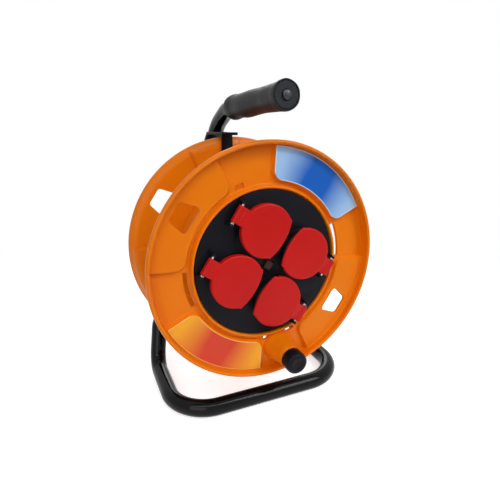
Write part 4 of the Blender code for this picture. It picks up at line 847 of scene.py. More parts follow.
# ---- flanges -------------------------------------------------------------------------------------
@dataclass
class Flange(Assembly):
    """One flange: raised pads and channels between a hub and a rolled rim."""

    body: str = "drum"
    shell: float = 3 * MM
    rim_width: float = 4.2 * MM
    rim_proud: float = 3.8 * MM
    pad_depth: float = 4 * MM
    channel_depth: float = 8 * MM
    pad_inner: float = 80.95 * MM
    pad_ramp: float = 1.8 * MM
    pad_corner: float = 11 * MM
    pad_centre: float = math.radians(56.3)
    pad_half: float = math.radians(31.5)
    pad_band: float = 14 * MM
    ramp_spread: float = 1.25
    lip_inner: float = 75.25 * MM
    lip_outer: float = 78.25 * MM
    lip_depth: float = 3 * MM
    recess: float = 7.8 * MM
    spigot_inner: float = 61.97 * MM
    spigot_outer: float = 64.17 * MM
    spigot: float = 5 * MM
    window_reach: Pair = (88.45 * MM, 108.5 * MM)
    window_half: Pair = (14.2 * MM, 9.8 * MM)
    window_corner: float = 4.2 * MM
    slot_inner: float = 80.05 * MM
    slot_width: float = 4.6 * MM
    slot_half: float = math.radians(12.5)
    short_slot_half: float = math.radians(3.2)
    short_slot_shift: float = math.radians(-8.5)

    @property
    def radius(self) -> float:
        """The flange's radius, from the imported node."""
        low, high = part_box("front_flange")
        return (high.x - low.x) / 2

    @property
    def back(self) -> float:
        """Depth of the channel's back face."""
        return self.channel_depth + self.shell

    def pad_turn(self, quarter: float) -> float:
        """The angle of a pad's middle, or of a channel's at a half."""
        return self.pad_centre + quarter * QUARTER_TURN

    def pad_share(self, radius: float, turn: float) -> float:
        """How far a point is up on a pad.

        Args:
            radius: The point's distance from the axle.
            turn: Its angle.

        Returns:
            0 in a channel, 1 on the pad's face.
        """
        quarter = QUARTER_TURN
        offset = abs((turn - self.pad_centre + quarter / 2) % quarter - quarter / 2)
        inside = radius - self.pad_inner
        aside = radius * math.sin(self.pad_half - offset)
        if offset > self.pad_half:
            return 0.0
        near = min(inside, aside)
        if inside < self.pad_corner and aside < self.pad_corner:
            near = self.pad_corner - math.hypot(self.pad_corner - inside, self.pad_corner - aside)
        return smooth_step(near / (self.ramp_spread * self.pad_ramp))

    def turns(self) -> list[float]:
        """Angles of the rays, which lie close together where the pads end.

        Returns:
            The angles, all the way round.
        """
        on_pad = [math.radians(1.65 * step) for step in range(13)]
        on_ramp = [math.radians(21.5 + 0.42 * step) for step in range(26)]
        in_channel = [math.radians(32.4 + 1.575 * step) for step in range(9)]
        half = on_pad + on_ramp + in_channel
        offsets = [-turn for turn in half[:0:-1]] + half[:-1]
        return [self.pad_turn(quarter) + turn for quarter in range(4) for turn in offsets]

    def front_rows(self) -> list[Row]:
        """Rows of the front skin, from the hub lip out to the pads' outer edge.

        Returns:
            Each row's radius, and its depth in a channel and on a pad.
        """
        floor, pad = self.channel_depth, self.pad_depth
        reach = self.radius - self.rim_width - 0.8 * MM
        lip = eased([(self.lip_inner, self.recess), (self.lip_inner, self.lip_depth),
                     (self.lip_outer - 0.7 * MM, self.lip_depth), (self.lip_outer + 1 * MM, floor),
                     (self.pad_inner, floor)], 1.1 * MM, 4, closed=False)[1:]
        rows = [(radius, depth, depth) for radius, depth in lip]
        band_steps, face_steps = 22, 8
        start = self.pad_inner + self.pad_band
        for step in range(1, band_steps + 1):
            rows.append((self.pad_inner + self.pad_band * step / band_steps, floor, pad))
        for step in range(1, face_steps + 1):
            rows.append((start + (reach - start) * step / face_steps, floor, pad))
        return rows

    def rim_rows(self) -> list[Row]:
        """Rows over the rolled rim, from the pads' edge round to the back skin.

        Returns:
            The rows, as in front_rows.
        """
        outer, wide, proud = self.radius, self.rim_width, self.rim_proud
        inner = outer - wide
        start, last = inner - 0.8 * MM, inner - 0.5 * MM
        rows = []
        for depth in (self.channel_depth, self.pad_depth):
            points = [(start, depth), (start + 0.7 * MM, depth - 1.2 * MM),
                      (inner + 0.3 * MM, -0.5 * proud), (inner + 0.22 * wide, -0.88 * proud),
                      (inner + 0.55 * wide, -proud), (outer - 0.12 * wide, -0.7 * proud), (outer, 0.0),
                      (outer - 0.2 * wide, 2.2 * MM), (inner + 0.35 * wide, 5 * MM),
                      (last, depth + 0.62 * self.shell)]
            rows.append(catmull(points, 4)[1:])
        return [(a[0], a[1], b[1]) for a, b in zip(*rows)]

    def back_rows(self) -> list[Row]:
        """Rows of the back skin, from the rim inward.

        Returns:
            The rows, as in front_rows.
        """
        floor, pad = self.channel_depth + self.shell, self.pad_depth + self.shell
        outer, inner = self.radius - self.rim_width - 2.8 * MM, self.pad_inner + 0.8 * MM
        face_steps, band_steps = 6, 18
        start, band = self.pad_inner + self.pad_band, 13.2 * MM
        stations = [outer + (start - outer) * step / face_steps for step in range(face_steps)]
        stations += [inner + band * (1 - step / band_steps) for step in range(band_steps + 1)]
        return [(radius, floor, pad) for radius in stations]

    def mesh(self, hub: Sequence[Pair], depth_of: Callable[[float], float]) -> Shape:
        """The closed skin of the flange.

        Args:
            hub: The (radius, depth) line that closes the section through the hub.
            depth_of: Turns a depth behind the rim's middle into a depth from the front rim's middle.

        Returns:
            The shape.
        """
        rows = self.front_rows() + self.rim_rows() + self.back_rows() + [(r, d, d) for r, d in hub]
        rings = []
        turns = self.turns()
        for radius, floor, pad in rows:
            ring = []
            for turn in turns:
                share = self.pad_share(radius, turn)
                depth = depth_of(floor + (pad - floor) * share)
                ring.append(at(radius * math.cos(turn), depth, radius * math.sin(turn)))
            rings.append(ring)
        return Shape().skin(rings, closed=True)

    def cutters(self, depth_of: Callable[[float], float]) -> Shape:
        """The windows and slots, with chamfered mouths.

        Args:
            depth_of: Turns a depth behind the rim's middle into a depth from the front rim's middle.

        Returns:
            The shape to cut away.
        """
        shape = Shape()
        plane = placed(AXLE, BACK, RIGHT)
        (inner, outer), (inner_half, outer_half) = self.window_reach, self.window_half
        corners = [(inner, -inner_half), (outer, -outer_half), (outer, outer_half), (inner, inner_half)]
        face, behind = self.pad_depth, self.back + 2 * MM
        levels = [(face - 6 * MM, 1.3 * MM), (face - 0.6 * MM, 1.3 * MM), (face + 0.5 * MM, 0.15 * MM),
                  (face + 1.2 * MM, 0.0), (behind, 0.0)]
        stack = [(depth_of(height), growth) for height, growth in levels]
        for quarter in (1, 3):
            turn = Matrix.Rotation(-self.pad_turn(quarter), 4, "Z")
            shape.prism(eased(corners, self.window_corner, 6), stack, plane @ turn)
        face = self.channel_depth
        levels = [(face - 8 * MM, 0.5 * MM), (face - 0.1 * MM, 0.5 * MM), (face + 0.6 * MM, 0.0),
                  (behind, 0.0)]
        for quarter in range(4):
            middle = -self.pad_turn(quarter + 0.5)
            half = self.slot_half if quarter else self.short_slot_half
            middle += 0 if quarter else self.short_slot_shift
            line = arc(self.slot_inner, middle - half, middle + half, 14)
            line += arc(self.slot_inner + self.slot_width, middle + half, middle - half, 14)
            shape.prism(line, [(depth_of(height), growth) for height, growth in levels], plane)
        return shape


@dataclass
class FrontFlange(Flange):
    """The front flange with its hub recess and the boss of the winding knob."""

    boss_foot: float = 16.5 * MM
    boss_tip: float = 10.5 * MM
    boss_height: float = 20 * MM
    spindle_bore: float = 3.2 * MM

    def build(self) -> None:
        """Builds the flange."""
        back = self.back
        hub = [(self.spigot_outer, back), (self.spigot_outer, back + self.spigot),
               (self.spigot_inner, back + self.spigot), (self.spigot_inner, self.recess),
               (self.lip_inner - 0.3 * MM, self.recess)]
        piece = self.mesh(hub, lambda depth: depth).to_object("flange_front")
        combine(piece, self.cutters(lambda depth: depth), Operation.CUT)
        foot, tip, top = self.boss_foot, self.boss_tip, self.boss_height
        outside = catmull([(foot + 1.2 * MM, -self.channel_depth - 1 * MM), (foot, -self.pad_depth),
                           (0.9 * foot, 0.5 * MM), (0.79 * foot, 8 * MM),
                           (tip + 0.6 * MM, top - 2 * MM)], 4)
        rim = arc(1.2 * MM, 0.0, QUARTER_TURN, 4, (tip - 1.2 * MM, top - 1.2 * MM))
        profile = [(0.0, -self.back + 0.5 * MM), (foot + 1.2 * MM, -self.back + 0.5 * MM)] + outside + rim
        profile += [(0.0, top)]
        knob = joint_origin("knob_spin")
        origin = Vector((knob.x, AXLE.y, knob.z))
        place = placed(origin, FORWARD, UP)
        combine(piece, Shape().turned(profile, place, 56), Operation.JOIN)
        bore = rod(self.spindle_bore, -20 * MM, top + 2 * MM)
        combine(piece, Shape().turned(bore, place, 24), Operation.CUT)
        self.add(piece, Palette.ORANGE, "orange_plastic", "front_flange", angle=38.0)


@dataclass
class RearFlange(Flange):
    """The rear flange, closed in the middle, with the bearing sleeve."""

    spacing: float = 100 * MM
    sleeve: float = 13 * MM
    sleeve_bore: float = 9.1 * MM
    sleeve_proud: float = 17 * MM
    sleeve_inside: float = 42 * MM
    rib_width: float = 1.6 * MM
    rib_height: float = 3.9 * MM
    rib_count: int = 8
    first_rib: float = math.radians(12)

    def build(self) -> None:
        """Builds the flange."""
        back, sleeve, bore = self.back, self.sleeve, self.sleeve_bore
        tip = back + self.spigot
        hub = [(self.spigot_outer, back), (self.spigot_outer, tip), (self.spigot_inner, tip),
               (self.spigot_inner, back), (sleeve + 1.5 * MM, back), (sleeve, back + 1.5 * MM),
               (sleeve, self.sleeve_inside), (bore, self.sleeve_inside), (bore, -self.sleeve_proud),
               (sleeve - 0.8 * MM, -self.sleeve_proud), (sleeve, -self.sleeve_proud + 0.8 * MM),
               (sleeve, self.recess - 1.5 * MM), (sleeve + 1.5 * MM, self.recess),
               (self.lip_inner - 0.3 * MM, self.recess)]

        def from_rear(depth: float) -> float:
            """A depth behind the rear rim, counted from the front one."""
            return self.spacing - depth

        piece = self.mesh(hub, from_rear).to_object("flange_rear")
        combine(piece, self.cutters(from_rear), Operation.CUT)
        ribs, half = Shape(), self.rib_width / 2
        web = placed(at(0, self.spacing - self.recess, 0), BACK, RIGHT)
        start, end = sleeve - 1 * MM, self.lip_inner + 0.6 * MM
        levels = [(-1 * MM, 0.2 * MM), (self.rib_height - 0.5 * MM, 0.0), (self.rib_height, -0.35 * MM)]
        for turn in full_turn(self.rib_count):
            place = web @ Matrix.Rotation(self.first_rib + turn, 4, "Z")
            ribs.prism([(start, -half), (end, -half), (end, half), (start, half)], levels, place)
        combine(piece, ribs, Operation.JOIN)
        self.add(piece, Palette.ORANGE, "orange_plastic", "rear_flange", angle=38.0)


@dataclass
class Barrel(Assembly):
    """The drum barrel that the cord is wound on."""

    body: str = "drum"
    wall: float = 2.5 * MM
    front: float = 11.3 * MM
    rear: float = 88.7 * MM
    band: float = 0.5 * MM
    band_half: float = 4 * MM
    gland_collar: float = 2.6 * MM

    def build(self) -> None:
        """Builds the barrel with two shallow sunk bands and the cord's outlet."""
        low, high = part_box("drum_barrel")
        outer = (high.x - low.x) / 2
        inner = outer - self.wall
        line = [(inner, self.front), (outer - 0.4 * MM, self.front), (outer, self.front + 0.4 * MM)]
        for middle in (0.3, 0.7):
            place = self.front + (self.rear - self.front) * middle
            half, slope = self.band_half, 1 * MM
            line += [(outer, place - half - slope), (outer - self.band, place - half),
                     (outer - self.band, place + half), (outer, place + half + slope)]
        line += [(outer, self.rear - 0.4 * MM), (outer - 0.4 * MM, self.rear), (inner, self.rear)]
        piece = Shape().turned(line, placed(AXLE, BACK, RIGHT), 128).to_object("barrel")
        gland_low, gland_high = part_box("cable_gland")
        gland = (gland_low + gland_high) / 2
        radius = (gland_high.z - gland_low.z) / 2 - self.gland_collar
        side = Vector((gland.x - AXLE.x, 0, 0))
        hole = Shape().turned(rod(radius, -30 * MM, 30 * MM), placed(gland, side, UP), 32)
        combine(piece, hole, Operation.CUT)
        self.add(piece, Palette.ORANGE, "orange_plastic", "drum_barrel")


@dataclass
class Labels(Assembly):
    """The two printed labels on the pads without a window."""

    body: str = "drum"
    flange: FrontFlange = field(default_factory=FrontFlange)
    film: float = 0.4 * MM
    face: float = 3.3 * MM
    margin: float = 2.2 * MM
    rim_margin: float = 1.2 * MM
    corner: float = 9 * MM
    gloss_roughness: float = 0.26

    @property
    def reach(self) -> Pair:
        """The inner and outer radius."""
        flange = self.flange
        return flange.pad_inner + self.margin, flange.radius - flange.rim_width - self.rim_margin

    def outline(self, middle: float) -> list[Pair]:
        """A ring sector with wide inner corners and sharp outer ones.

        Args:
            middle: The angle of its middle.

        Returns:
            The outline.
        """
        inner, outer = self.reach
        half = self.flange.pad_half - self.margin / inner
        line = arc(outer, middle + half, middle - half, 40)
        small = self.corner / inner
        line += [(radius * math.cos(middle - half + turn), radius * math.sin(middle - half + turn))
                 for radius, turn in self.inner_corner(inner, small)]
        line += arc(inner, middle - half + small, middle + half - small, 24)
        line += [(radius * math.cos(middle + half - turn), radius * math.sin(middle + half - turn))
                 for radius, turn in self.inner_corner(inner, small)[::-1]]
        return line

    def inner_corner(self, inner: float, small: float) -> list[Pair]:
        """One rounded inner corner, from the side to the inner edge.

        Args:
            inner: The label's inner radius.
            small: The angle that the corner takes up.

        Returns:
            Its (radius, turn) points.
        """
        steps = 8
        turns = [QUARTER_TURN * step / steps for step in range(steps)]
        return [(inner + self.corner * (1 - math.sin(turn)), small * (1 - math.cos(turn)))
                for turn in turns]

    def build(self) -> None:
        """Builds both labels."""
        plane = placed(AXLE, BACK, RIGHT)
        films = (
            ("label_upper", "label_blue", "blue_label", 0, (0.33, 0.53, 0.8), (0.002, 0.1, 0.48),
             (0.62, 0.74, 0.88)),
            ("label_lower", "label_sunset", "orange_label", 2, (0.86, 0.36, 0.012), (0.62, 0.045, 0.014),
             (0.9, 0.5, 0.12)),
        )
        inner, outer = self.reach
        half = self.flange.pad_half - self.margin / self.flange.pad_inner
        levels = [(self.face, -0.15 * MM), (self.face + 0.15 * MM, 0.0), (self.face + self.film, 0.0)]
        for node, name, slot, quarter, ends, middle, border in films:
            turn = self.flange.pad_turn(quarter)
            finish = PrintedFilm(name, ends, self.gloss_roughness, middle=middle, border=border,
                                 centre_angle=turn, half_angle=half, inner=inner, outer=outer)
            piece = Shape().prism(self.outline(-turn), levels, plane).to_object(name)
            piece.data.materials.append(finish.material())
            shade(piece)
            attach(piece, self.body)
            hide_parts(node)
            LOG.info("%s on %s", name, self.body)


# ---- sockets and lids ----------------------------------------------------------------------------
ROW_TURN = math.radians(-33)


@dataclass(frozen=True)
class SocketPlace:
    """Where one socket and its lid are."""

    number: int
    hinge_reach: float = 33.5 * MM
    hinge_depth: float = -3 * MM
    pin_bore: float = 1.36 * MM

    @property
    def hinge_side(self) -> Vector:
        """The direction from the socket to its hinge."""
        sign = -1 if self.number in (1, 3) else 1
        return Vector((math.cos(ROW_TURN), 0, math.sin(ROW_TURN))) * sign

    @property
    def hinge(self) -> Vector:
        """The hinge's place, from its joint."""
        return joint_origin(f"lid_{self.number}_hinge")

    @property
    def plane(self) -> Matrix:
        """Local X to the hinge, local Z to the front, from the rim's middle plane."""
        middle = self.hinge - self.hinge_side * self.hinge_reach
        return placed(Vector((middle.x, AXLE.y, middle.z)), FORWARD, self.hinge_side)

    @property
    def pin(self) -> Matrix:
        """Local Z along the hinge pin, local X away from the socket."""
        return placed(self.hinge, FORWARD.cross(self.hinge_side), self.hinge_side)

    @property
    def side_view(self) -> Matrix:
        """From the hinge: local X away from the socket, local Y to the front, local Z along the pin."""
        place = self.plane @ Matrix.Translation((self.hinge_reach, 0, -self.hinge_depth))
        return place @ Matrix.Rotation(QUARTER_TURN, 4, "X")


SOCKETS = [SocketPlace(number) for number in (1, 2, 3, 4)]


@dataclass
class Faceplate(Assembly):
    """The black disc with its collars, hinge ears and the button's frame."""

    body: str = "drum"
    depth: float = 4.5 * MM
    wall: float = 3 * MM
    collar_inner: float = 20.6 * MM
    collar_outer: float = 22.6 * MM
    collar_top: float = 4 * MM
    collar_lead: float = 1.3 * MM
    ear_start: float = 11 * MM
    ear_wall: float = 2.2 * MM
    ear_half: float = 3 * MM
    button: Pair = (8 * MM, 8.5 * MM)
    post: float = 4.5 * MM
    post_length: float = 26 * MM
    thread_bore: float = 2.15 * MM
    thread_start: float = 8 * MM
    screw_circle: float = 53.97 * MM

    def build(self) -> None:
        """Builds the disc."""
        low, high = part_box("socket_faceplate")
        radius = (high.x - low.x) / 2
        face, back = -self.depth, -(self.depth + self.wall)
        plane = placed(AXLE, FORWARD, RIGHT)
        edge = [(radius - 0.2 * MM, back)]
        edge += arc(0.8 * MM, 0, QUARTER_TURN, 4, (radius - 0.8 * MM, face - 0.8 * MM))
        piece = Shape().turned([(0.0, back)] + edge + [(0.0, face)], plane, 144)
        piece = piece.to_object("faceplate")
        raised, holes = Shape(), Shape()
        for socket in SOCKETS:
            outer, inner, top = self.collar_outer, self.collar_inner, self.collar_top
            fillet = [(outer + 1.2 * MM, face - 1 * MM), (outer + 1.2 * MM, face),
                      (outer + 0.3 * MM, face + 0.35 * MM), (outer, face + 1.2 * MM),
                      (outer, top - 0.4 * MM), (outer - 0.4 * MM, top)]
            raised.turned([(0.0, face - 1 * MM)] + fillet + [(0.0, top)], socket.plane, 72)
            hole = [(0.0, back - 1 * MM), (inner, back - 1 * MM), (inner, top - 0.3 * MM),
                    (inner + self.collar_lead, top + 1 * MM), (0.0, top + 1 * MM)]
            holes.turned(hole, socket.plane, 72)
        combine(piece, raised, Operation.JOIN)
        combine(piece, holes, Operation.CUT)
        for part in (self.ears(), self.posts(back), self.button_frame(face)):
            combine(piece, part, Operation.JOIN)
        combine(piece, self.small_holes(face, back), Operation.CUT)
        self.add(piece, Palette.DISC, "black_plastic", "socket_faceplate")

    def ears(self) -> Shape:
        """The two round-topped hinge ears of each lid.

        Returns:
            The shape to join on.
        """
        shape = Shape()
        for socket in SOCKETS:
            foot, half = socket.hinge_depth - self.depth - 0.5 * MM, self.ear_half + 0.6 * MM
            outline = [(-half, foot), (half, foot)] + arc(self.ear_half, 0, math.pi, 12)
            for side in (-1, 1):
                start = self.ear_start if side > 0 else -self.ear_start - self.ear_wall
                low, high, soft = -start - self.ear_wall, -start, 0.3 * MM
                levels = [(low, -soft), (low + soft, 0.0), (high - soft, 0.0), (high, -soft)]
                shape.prism(outline, levels, socket.side_view)
        return shape

    def post_places(self) -> list[Matrix]:
        """Where the screw posts stand, with local Z to the front.

        Returns:
            A matrix for each post.
        """
        turns = [ROW_TURN + QUARTER_TURN * (quarter + 1) for quarter in range(4)]
        reach = self.screw_circle
        centres = [at(reach * math.cos(turn), 0, reach * math.sin(turn)) for turn in turns]
        return [placed(centre, FORWARD, UP) for centre in centres]

    def posts(self, back: float) -> Shape:
        """The four screw posts behind the disc.

        Args:
            back: Height of the disc's back face.

        Returns:
            The shape to join on.
        """
        shape, end = Shape(), back - self.post_length
        post = [(0.0, end), (self.post - 0.4 * MM, end), (self.post, end + 0.4 * MM),
                (self.post, back + 1 * MM), (0.0, back + 1 * MM)]
        for place in self.post_places():
            shape.turned(post, place, 28)
        return shape

    def button_place(self) -> Matrix:
        """Local X along the sockets' rows, at the middle of the disc."""
        return placed(AXLE, FORWARD, SOCKETS[1].hinge_side)

    def button_outline(self, gap: float, corner: float, steps: int) -> list[Pair]:
        """The button's outline with a gap round it."""
        half_wide, half_high = self.button[0] / 2 + gap, self.button[1] / 2 + gap
        return eased(rectangle(half_wide, half_high), corner, steps)

    def button_frame(self, face: float) -> Shape:
        """A low bezel round the button.

        Args:
            face: Height of the disc's face.

        Returns:
            The shape to join on.
        """
        levels = [(face - 1 * MM, 0.0), (face + 0.5 * MM, 0.0), (face + 0.9 * MM, -0.4 * MM)]
        return Shape().prism(self.button_outline(1.5 * MM, 1.6 * MM, 5), levels, self.button_place())

    def small_holes(self, face: float, back: float) -> Shape:
        """The button's hole and the bores of the hinge pins and the posts.

        Args:
            face: Height of the disc's face.
            back: Height of its back face.

        Returns:
            The shape to cut away.
        """
        shape = Shape()
        levels = [(back - 1 * MM, 0.0), (face + 2 * MM, 0.0)]
        shape.prism(self.button_outline(0.35 * MM, 1 * MM, 4), levels, self.button_place())
        for socket in SOCKETS:
            shape.turned(rod(socket.pin_bore, -16 * MM, 16 * MM), socket.pin, 20)
        thread = rod(self.thread_bore, back - self.post_length - 1 * MM, back - self.thread_start)
        for place in self.post_places():
            shape.turned(thread, place, 20)
        return shape


@dataclass
class SocketWell(Assembly):
    """The cup that a plug enters, with its pin holes, guide ribs and earth springs."""

    body: str = "drum"
    socket: SocketPlace = SOCKETS[0]
    radius: float = 19.3 * MM
    wall: float = 1 * MM
    mouth: float = 4 * MM
    floor: float = 13.3 * MM
    bottom: float = 16 * MM
    flange: float = 3.2 * MM
    flange_front: float = 7.8 * MM
    flange_wall: float = 2 * MM
    pin_offset: float = 9.5 * MM
    pin_hole: float = 2.7 * MM
    pin_lead: float = 0.9 * MM
    rib_half: Pair = (2.6 * MM, 1.2 * MM)
    spring_half: float = 2 * MM
    spring_strip: float = 0.4 * MM

    def build(self) -> None:
        """Builds the cup."""
        inner, outer = self.radius, self.radius + self.wall
        wide = outer + self.flange
        rear = self.flange_front + self.flange_wall
        profile = [(0.0, -self.floor), (inner - 1 * MM, -self.floor), (inner, -self.floor + 1 * MM),
                   (inner, self.mouth - 0.4 * MM), (inner + 0.3 * MM, self.mouth), (outer, self.mouth),
                   (outer, -self.flange_front), (wide, -self.flange_front), (wide, -rear), (outer, -rear),
                   (outer, -self.bottom), (0.0, -self.bottom)]
        number = self.socket.number
        piece = Shape().turned(profile, self.socket.plane, 72).to_object(f"well_{number}")
        ribs = Shape()
        for side in (-1, 1):
            place = self.socket.plane @ Matrix.Translation((0, side * (inner - 0.8 * MM), 0))
            levels = [(-self.floor - 0.5 * MM, 0.0), (self.mouth - 3 * MM, 0.0),
                      (self.mouth - 2.2 * MM, -0.6 * MM)]
            ribs.prism(rectangle(*self.rib_half), levels, place)
        combine(piece, ribs, Operation.JOIN)
        holes, under, lead = Shape(), -self.bottom - 1 * MM, self.pin_hole + self.pin_lead
        bore = [(0.0, under), (self.pin_hole, under), (self.pin_hole, -self.floor - 0.7 * MM),
                (lead, -self.floor + 0.2 * MM), (lead, -self.floor + 2 * MM), (0.0, -self.floor + 2 * MM)]
        for offset in (-self.pin_offset, self.pin_offset):
            holes.turned(bore, self.socket.plane @ Matrix.Translation((offset, 0, 0)), 32)
        combine(piece, holes, Operation.CUT)
        self.add(piece, Palette.DISC, "black_plastic", f"socket_well_{number}")
        self.add(self.earth_spring(), Palette.SPRING, "spring_steel")

    def earth_spring(self) -> bpy.types.Object:
        """The two sprung earth contacts at the sides of the cup.

        Returns:
            The piece.
        """
        shape, reach = Shape(), self.radius - 2.1 * MM
        bow = [(reach, -self.floor + 0.4 * MM), (reach - 1.5 * MM, -self.floor + 4 * MM),
               (reach - 2.2 * MM, -5 * MM), (reach - 1.1 * MM, 0.2 * MM), (reach + 0.2 * MM, 0.9 * MM)]
        half, strip = self.spring_half, self.spring_strip
        section = ((-half, 0.0), (half, 0.0), (half, strip), (-half, strip))
        for side in (-1, 1):
            shape.skin([[self.socket.plane @ Vector((across, side * (out - thick), height))
                         for across, thick in section] for out, height in catmull(bow, 5)])
        return shape.to_object(f"earth_spring_{self.socket.number}")


@dataclass
class Lid(Assembly):
    """One sprung lid with its skirt, hinge tab and gasket."""

    body: str = ""
    socket: SocketPlace = SOCKETS[0]
    radius: float = 26.5 * MM
    corner: float = 27.6 * MM
    corner_angle: float = math.radians(51)
    front: float = 21.7 * MM
    face: float = 8.5 * MM
    under: float = 5.7 * MM
    skirt: float = 4.5 * MM
    skirt_wall: float = 1.8 * MM
    tab_half: float = 8.5 * MM
    tab_reach: float = 36.8 * MM
    tab_root: float = 24 * MM
    knuckle: float = 3 * MM
    tab_wall: float = 2.8 * MM
    edge: float = 1.9 * MM
    crown: float = 0.3 * MM
    gasket_radii: Pair = (20.6 * MM, 22.2 * MM)
    gasket_depth: Pair = (4.3 * MM, 5.4 * MM)

    def outline(self) -> list[Pair]:
        """The lid's plan: a round edge, two proud corners and a flatter edge away from the hinge.

        Returns:
            The outline.
        """
        corner_x = -self.corner * math.cos(self.corner_angle)
        corner_y = self.corner * math.sin(self.corner_angle)
        rise = self.front + corner_x
        front_radius = (corner_y ** 2 + rise ** 2) / (2 * rise)
        front_half = math.asin(corner_y / front_radius)
        half = math.pi - self.corner_angle - math.radians(7)
        line = arc(self.radius, -half, half, 60)
        line += arc(front_radius, math.pi - front_half, math.pi + front_half, 16,
                    (front_radius - self.front, 0.0))
        return eased(line, 0.6 * MM, 3)

    def top(self) -> Shape:
        """The plate of the lid: a softly crowned face with a rounded edge and a flat underside.

        Returns:
            The shape.
        """
        levels = [(0.93, self.under), (1.0, self.under)]
        edge_steps = 5
        for step in range(edge_steps + 1):
            turn = QUARTER_TURN * step / edge_steps
            inset = self.edge * (1 - math.cos(turn))
            height = self.face - self.crown - self.edge * (1 - math.sin(turn))
            levels.append((1 - inset / self.radius, height))
        levels += [(share, self.face - self.crown * share ** 2) for share in (0.85, 0.7, 0.5, 0.3, 0.12)]
        outline, plane = self.outline(), self.socket.plane
        return Shape().skin([[plane @ Vector((x * share, y * share, height)) for x, y in outline]
                             for share, height in levels])

    def skirt_ring(self) -> Shape:
        """The skirt that drops round the collar.

        Returns:
            The shape.
        """
        half = math.pi - self.corner_angle - math.radians(14)
        outer, inner = self.radius - 0.3 * MM, self.radius - self.skirt_wall
        line = arc(outer, -half, half, 56) + arc(inner, half, -half, 56)
        low = self.under - self.skirt
        levels = [(low, -0.35 * MM), (low + 0.4 * MM, 0.0), (self.face - self.tab_wall / 2, 0.0)]
        return Shape().prism(line, levels, self.socket.plane)

    def tab(self) -> Shape:
        """The hinge tab with its knuckle and the small groove across its root.

        Returns:
            The shape.
        """
        socket = self.socket
        face = self.face + socket.hinge_depth
        low = face - self.tab_wall
        root, tip = self.tab_root - socket.hinge_reach, self.tab_reach - socket.hinge_reach
        section = [(root, low), (-self.knuckle, low)] + arc(self.knuckle, math.pi, 2 * math.pi, 14)
        top = face - 0.3 * MM
        section += arc(tip * 0.5, 0, QUARTER_TURN, 6, (tip * 0.5, top - tip * 0.5))
        section += [(-1.4 * MM, top), (-1.9 * MM, top - 0.7 * MM), (-3.0 * MM, top - 0.7 * MM),
                    (-3.6 * MM, top - 0.1 * MM), (root, top - 0.1 * MM)]
        levels = [(-self.tab_half, -0.5 * MM), (-self.tab_half + 0.5 * MM, 0.0),
                  (self.tab_half - 0.5 * MM, 0.0), (self.tab_half, -0.5 * MM)]
        return Shape().prism(section, levels, socket.side_view)

    def build(self) -> None:
        """Builds the lid and its gasket."""
        number = self.socket.number
        piece = self.top().to_object(f"socket_lid_{number}")
        combine(piece, self.skirt_ring(), Operation.JOIN)
        combine(piece, self.tab(), Operation.JOIN)
        half = self.tab_half + 1 * MM
        bore = Shape().turned(rod(self.socket.pin_bore, -half, half), self.socket.pin, 24)
        combine(piece, bore, Operation.CUT)
        self.add(piece, Palette.RED, "red_plastic", f"lid_{number}", angle=32.0)
        (inner, outer), (low, high), soft = self.gasket_radii, self.gasket_depth, 0.3 * MM
        ring = [(inner, low + soft), (inner + soft, low), (outer - soft, low), (outer, low + soft),
                (outer, high), (inner, high)]
        gasket = Shape().turned(ring, self.socket.plane, 72).to_object(f"gasket_{number}")
        self.add(gasket, Palette.RUBBER, "rubber", f"lid_gasket_{number}")


@dataclass
class LidSpring(Assembly):
    """The torsion spring of one lid: a coil beside the tab with two short legs."""

    body: str = "drum"
    socket: SocketPlace = SOCKETS[0]
    wire: float = 0.42 * MM
    start: float = 9.05 * MM
    turns: float = 3.0
    length: float = 1.25 * MM
    leg: float = 2.4 * MM
    radius: float = 1.85 * MM

    def build(self) -> None:
        """Builds the spring."""
        near = self.start + 0.18 * MM
        path = [Vector((self.radius, -self.leg, near)), Vector((self.radius, -self.leg / 2, near))]
        steps = int(self.turns * 22)
        for step in range(steps + 1):
            share = step / steps
            turn = 2 * math.pi * self.turns * share
            height = near + share * self.length
            path.append(Vector((self.radius * math.cos(turn), self.radius * math.sin(turn), height)))
        path.append(Vector((self.radius, self.leg, near + self.length)))
        points = [self.socket.pin @ point for point in path]
        name = f"spring_{self.socket.number}"
        piece = Shape().swept(points, self.wire, self.socket.hinge_side, 10).to_object(name)
        self.add(piece, Palette.SPRING, "spring_steel", f"lid_spring_{self.socket.number}")


@dataclass
class ResetButton(Assembly):
    """The push button of the thermal cut-out."""

    body: str = "button"
    faceplate: Faceplate = field(default_factory=Faceplate)
    length: float = 16 * MM
    proud: float = 3 * MM
    corner: float = 1.2 * MM

    def build(self) -> None:
        """Builds the button with a softened face."""
        face = self.proud - self.faceplate.depth
        outline = self.faceplate.button_outline(0.0, self.corner, 5)
        levels = [(face - self.length, 0.0), (face - 0.7 * MM, 0.0), (face - 0.2 * MM, -0.2 * MM),
                  (face, -0.7 * MM)]
        piece = Shape().prism(outline, levels, self.faceplate.button_place()).to_object("cutout_button")
        self.add(piece, Palette.BUTTON, "brown_plastic", "reset_button")


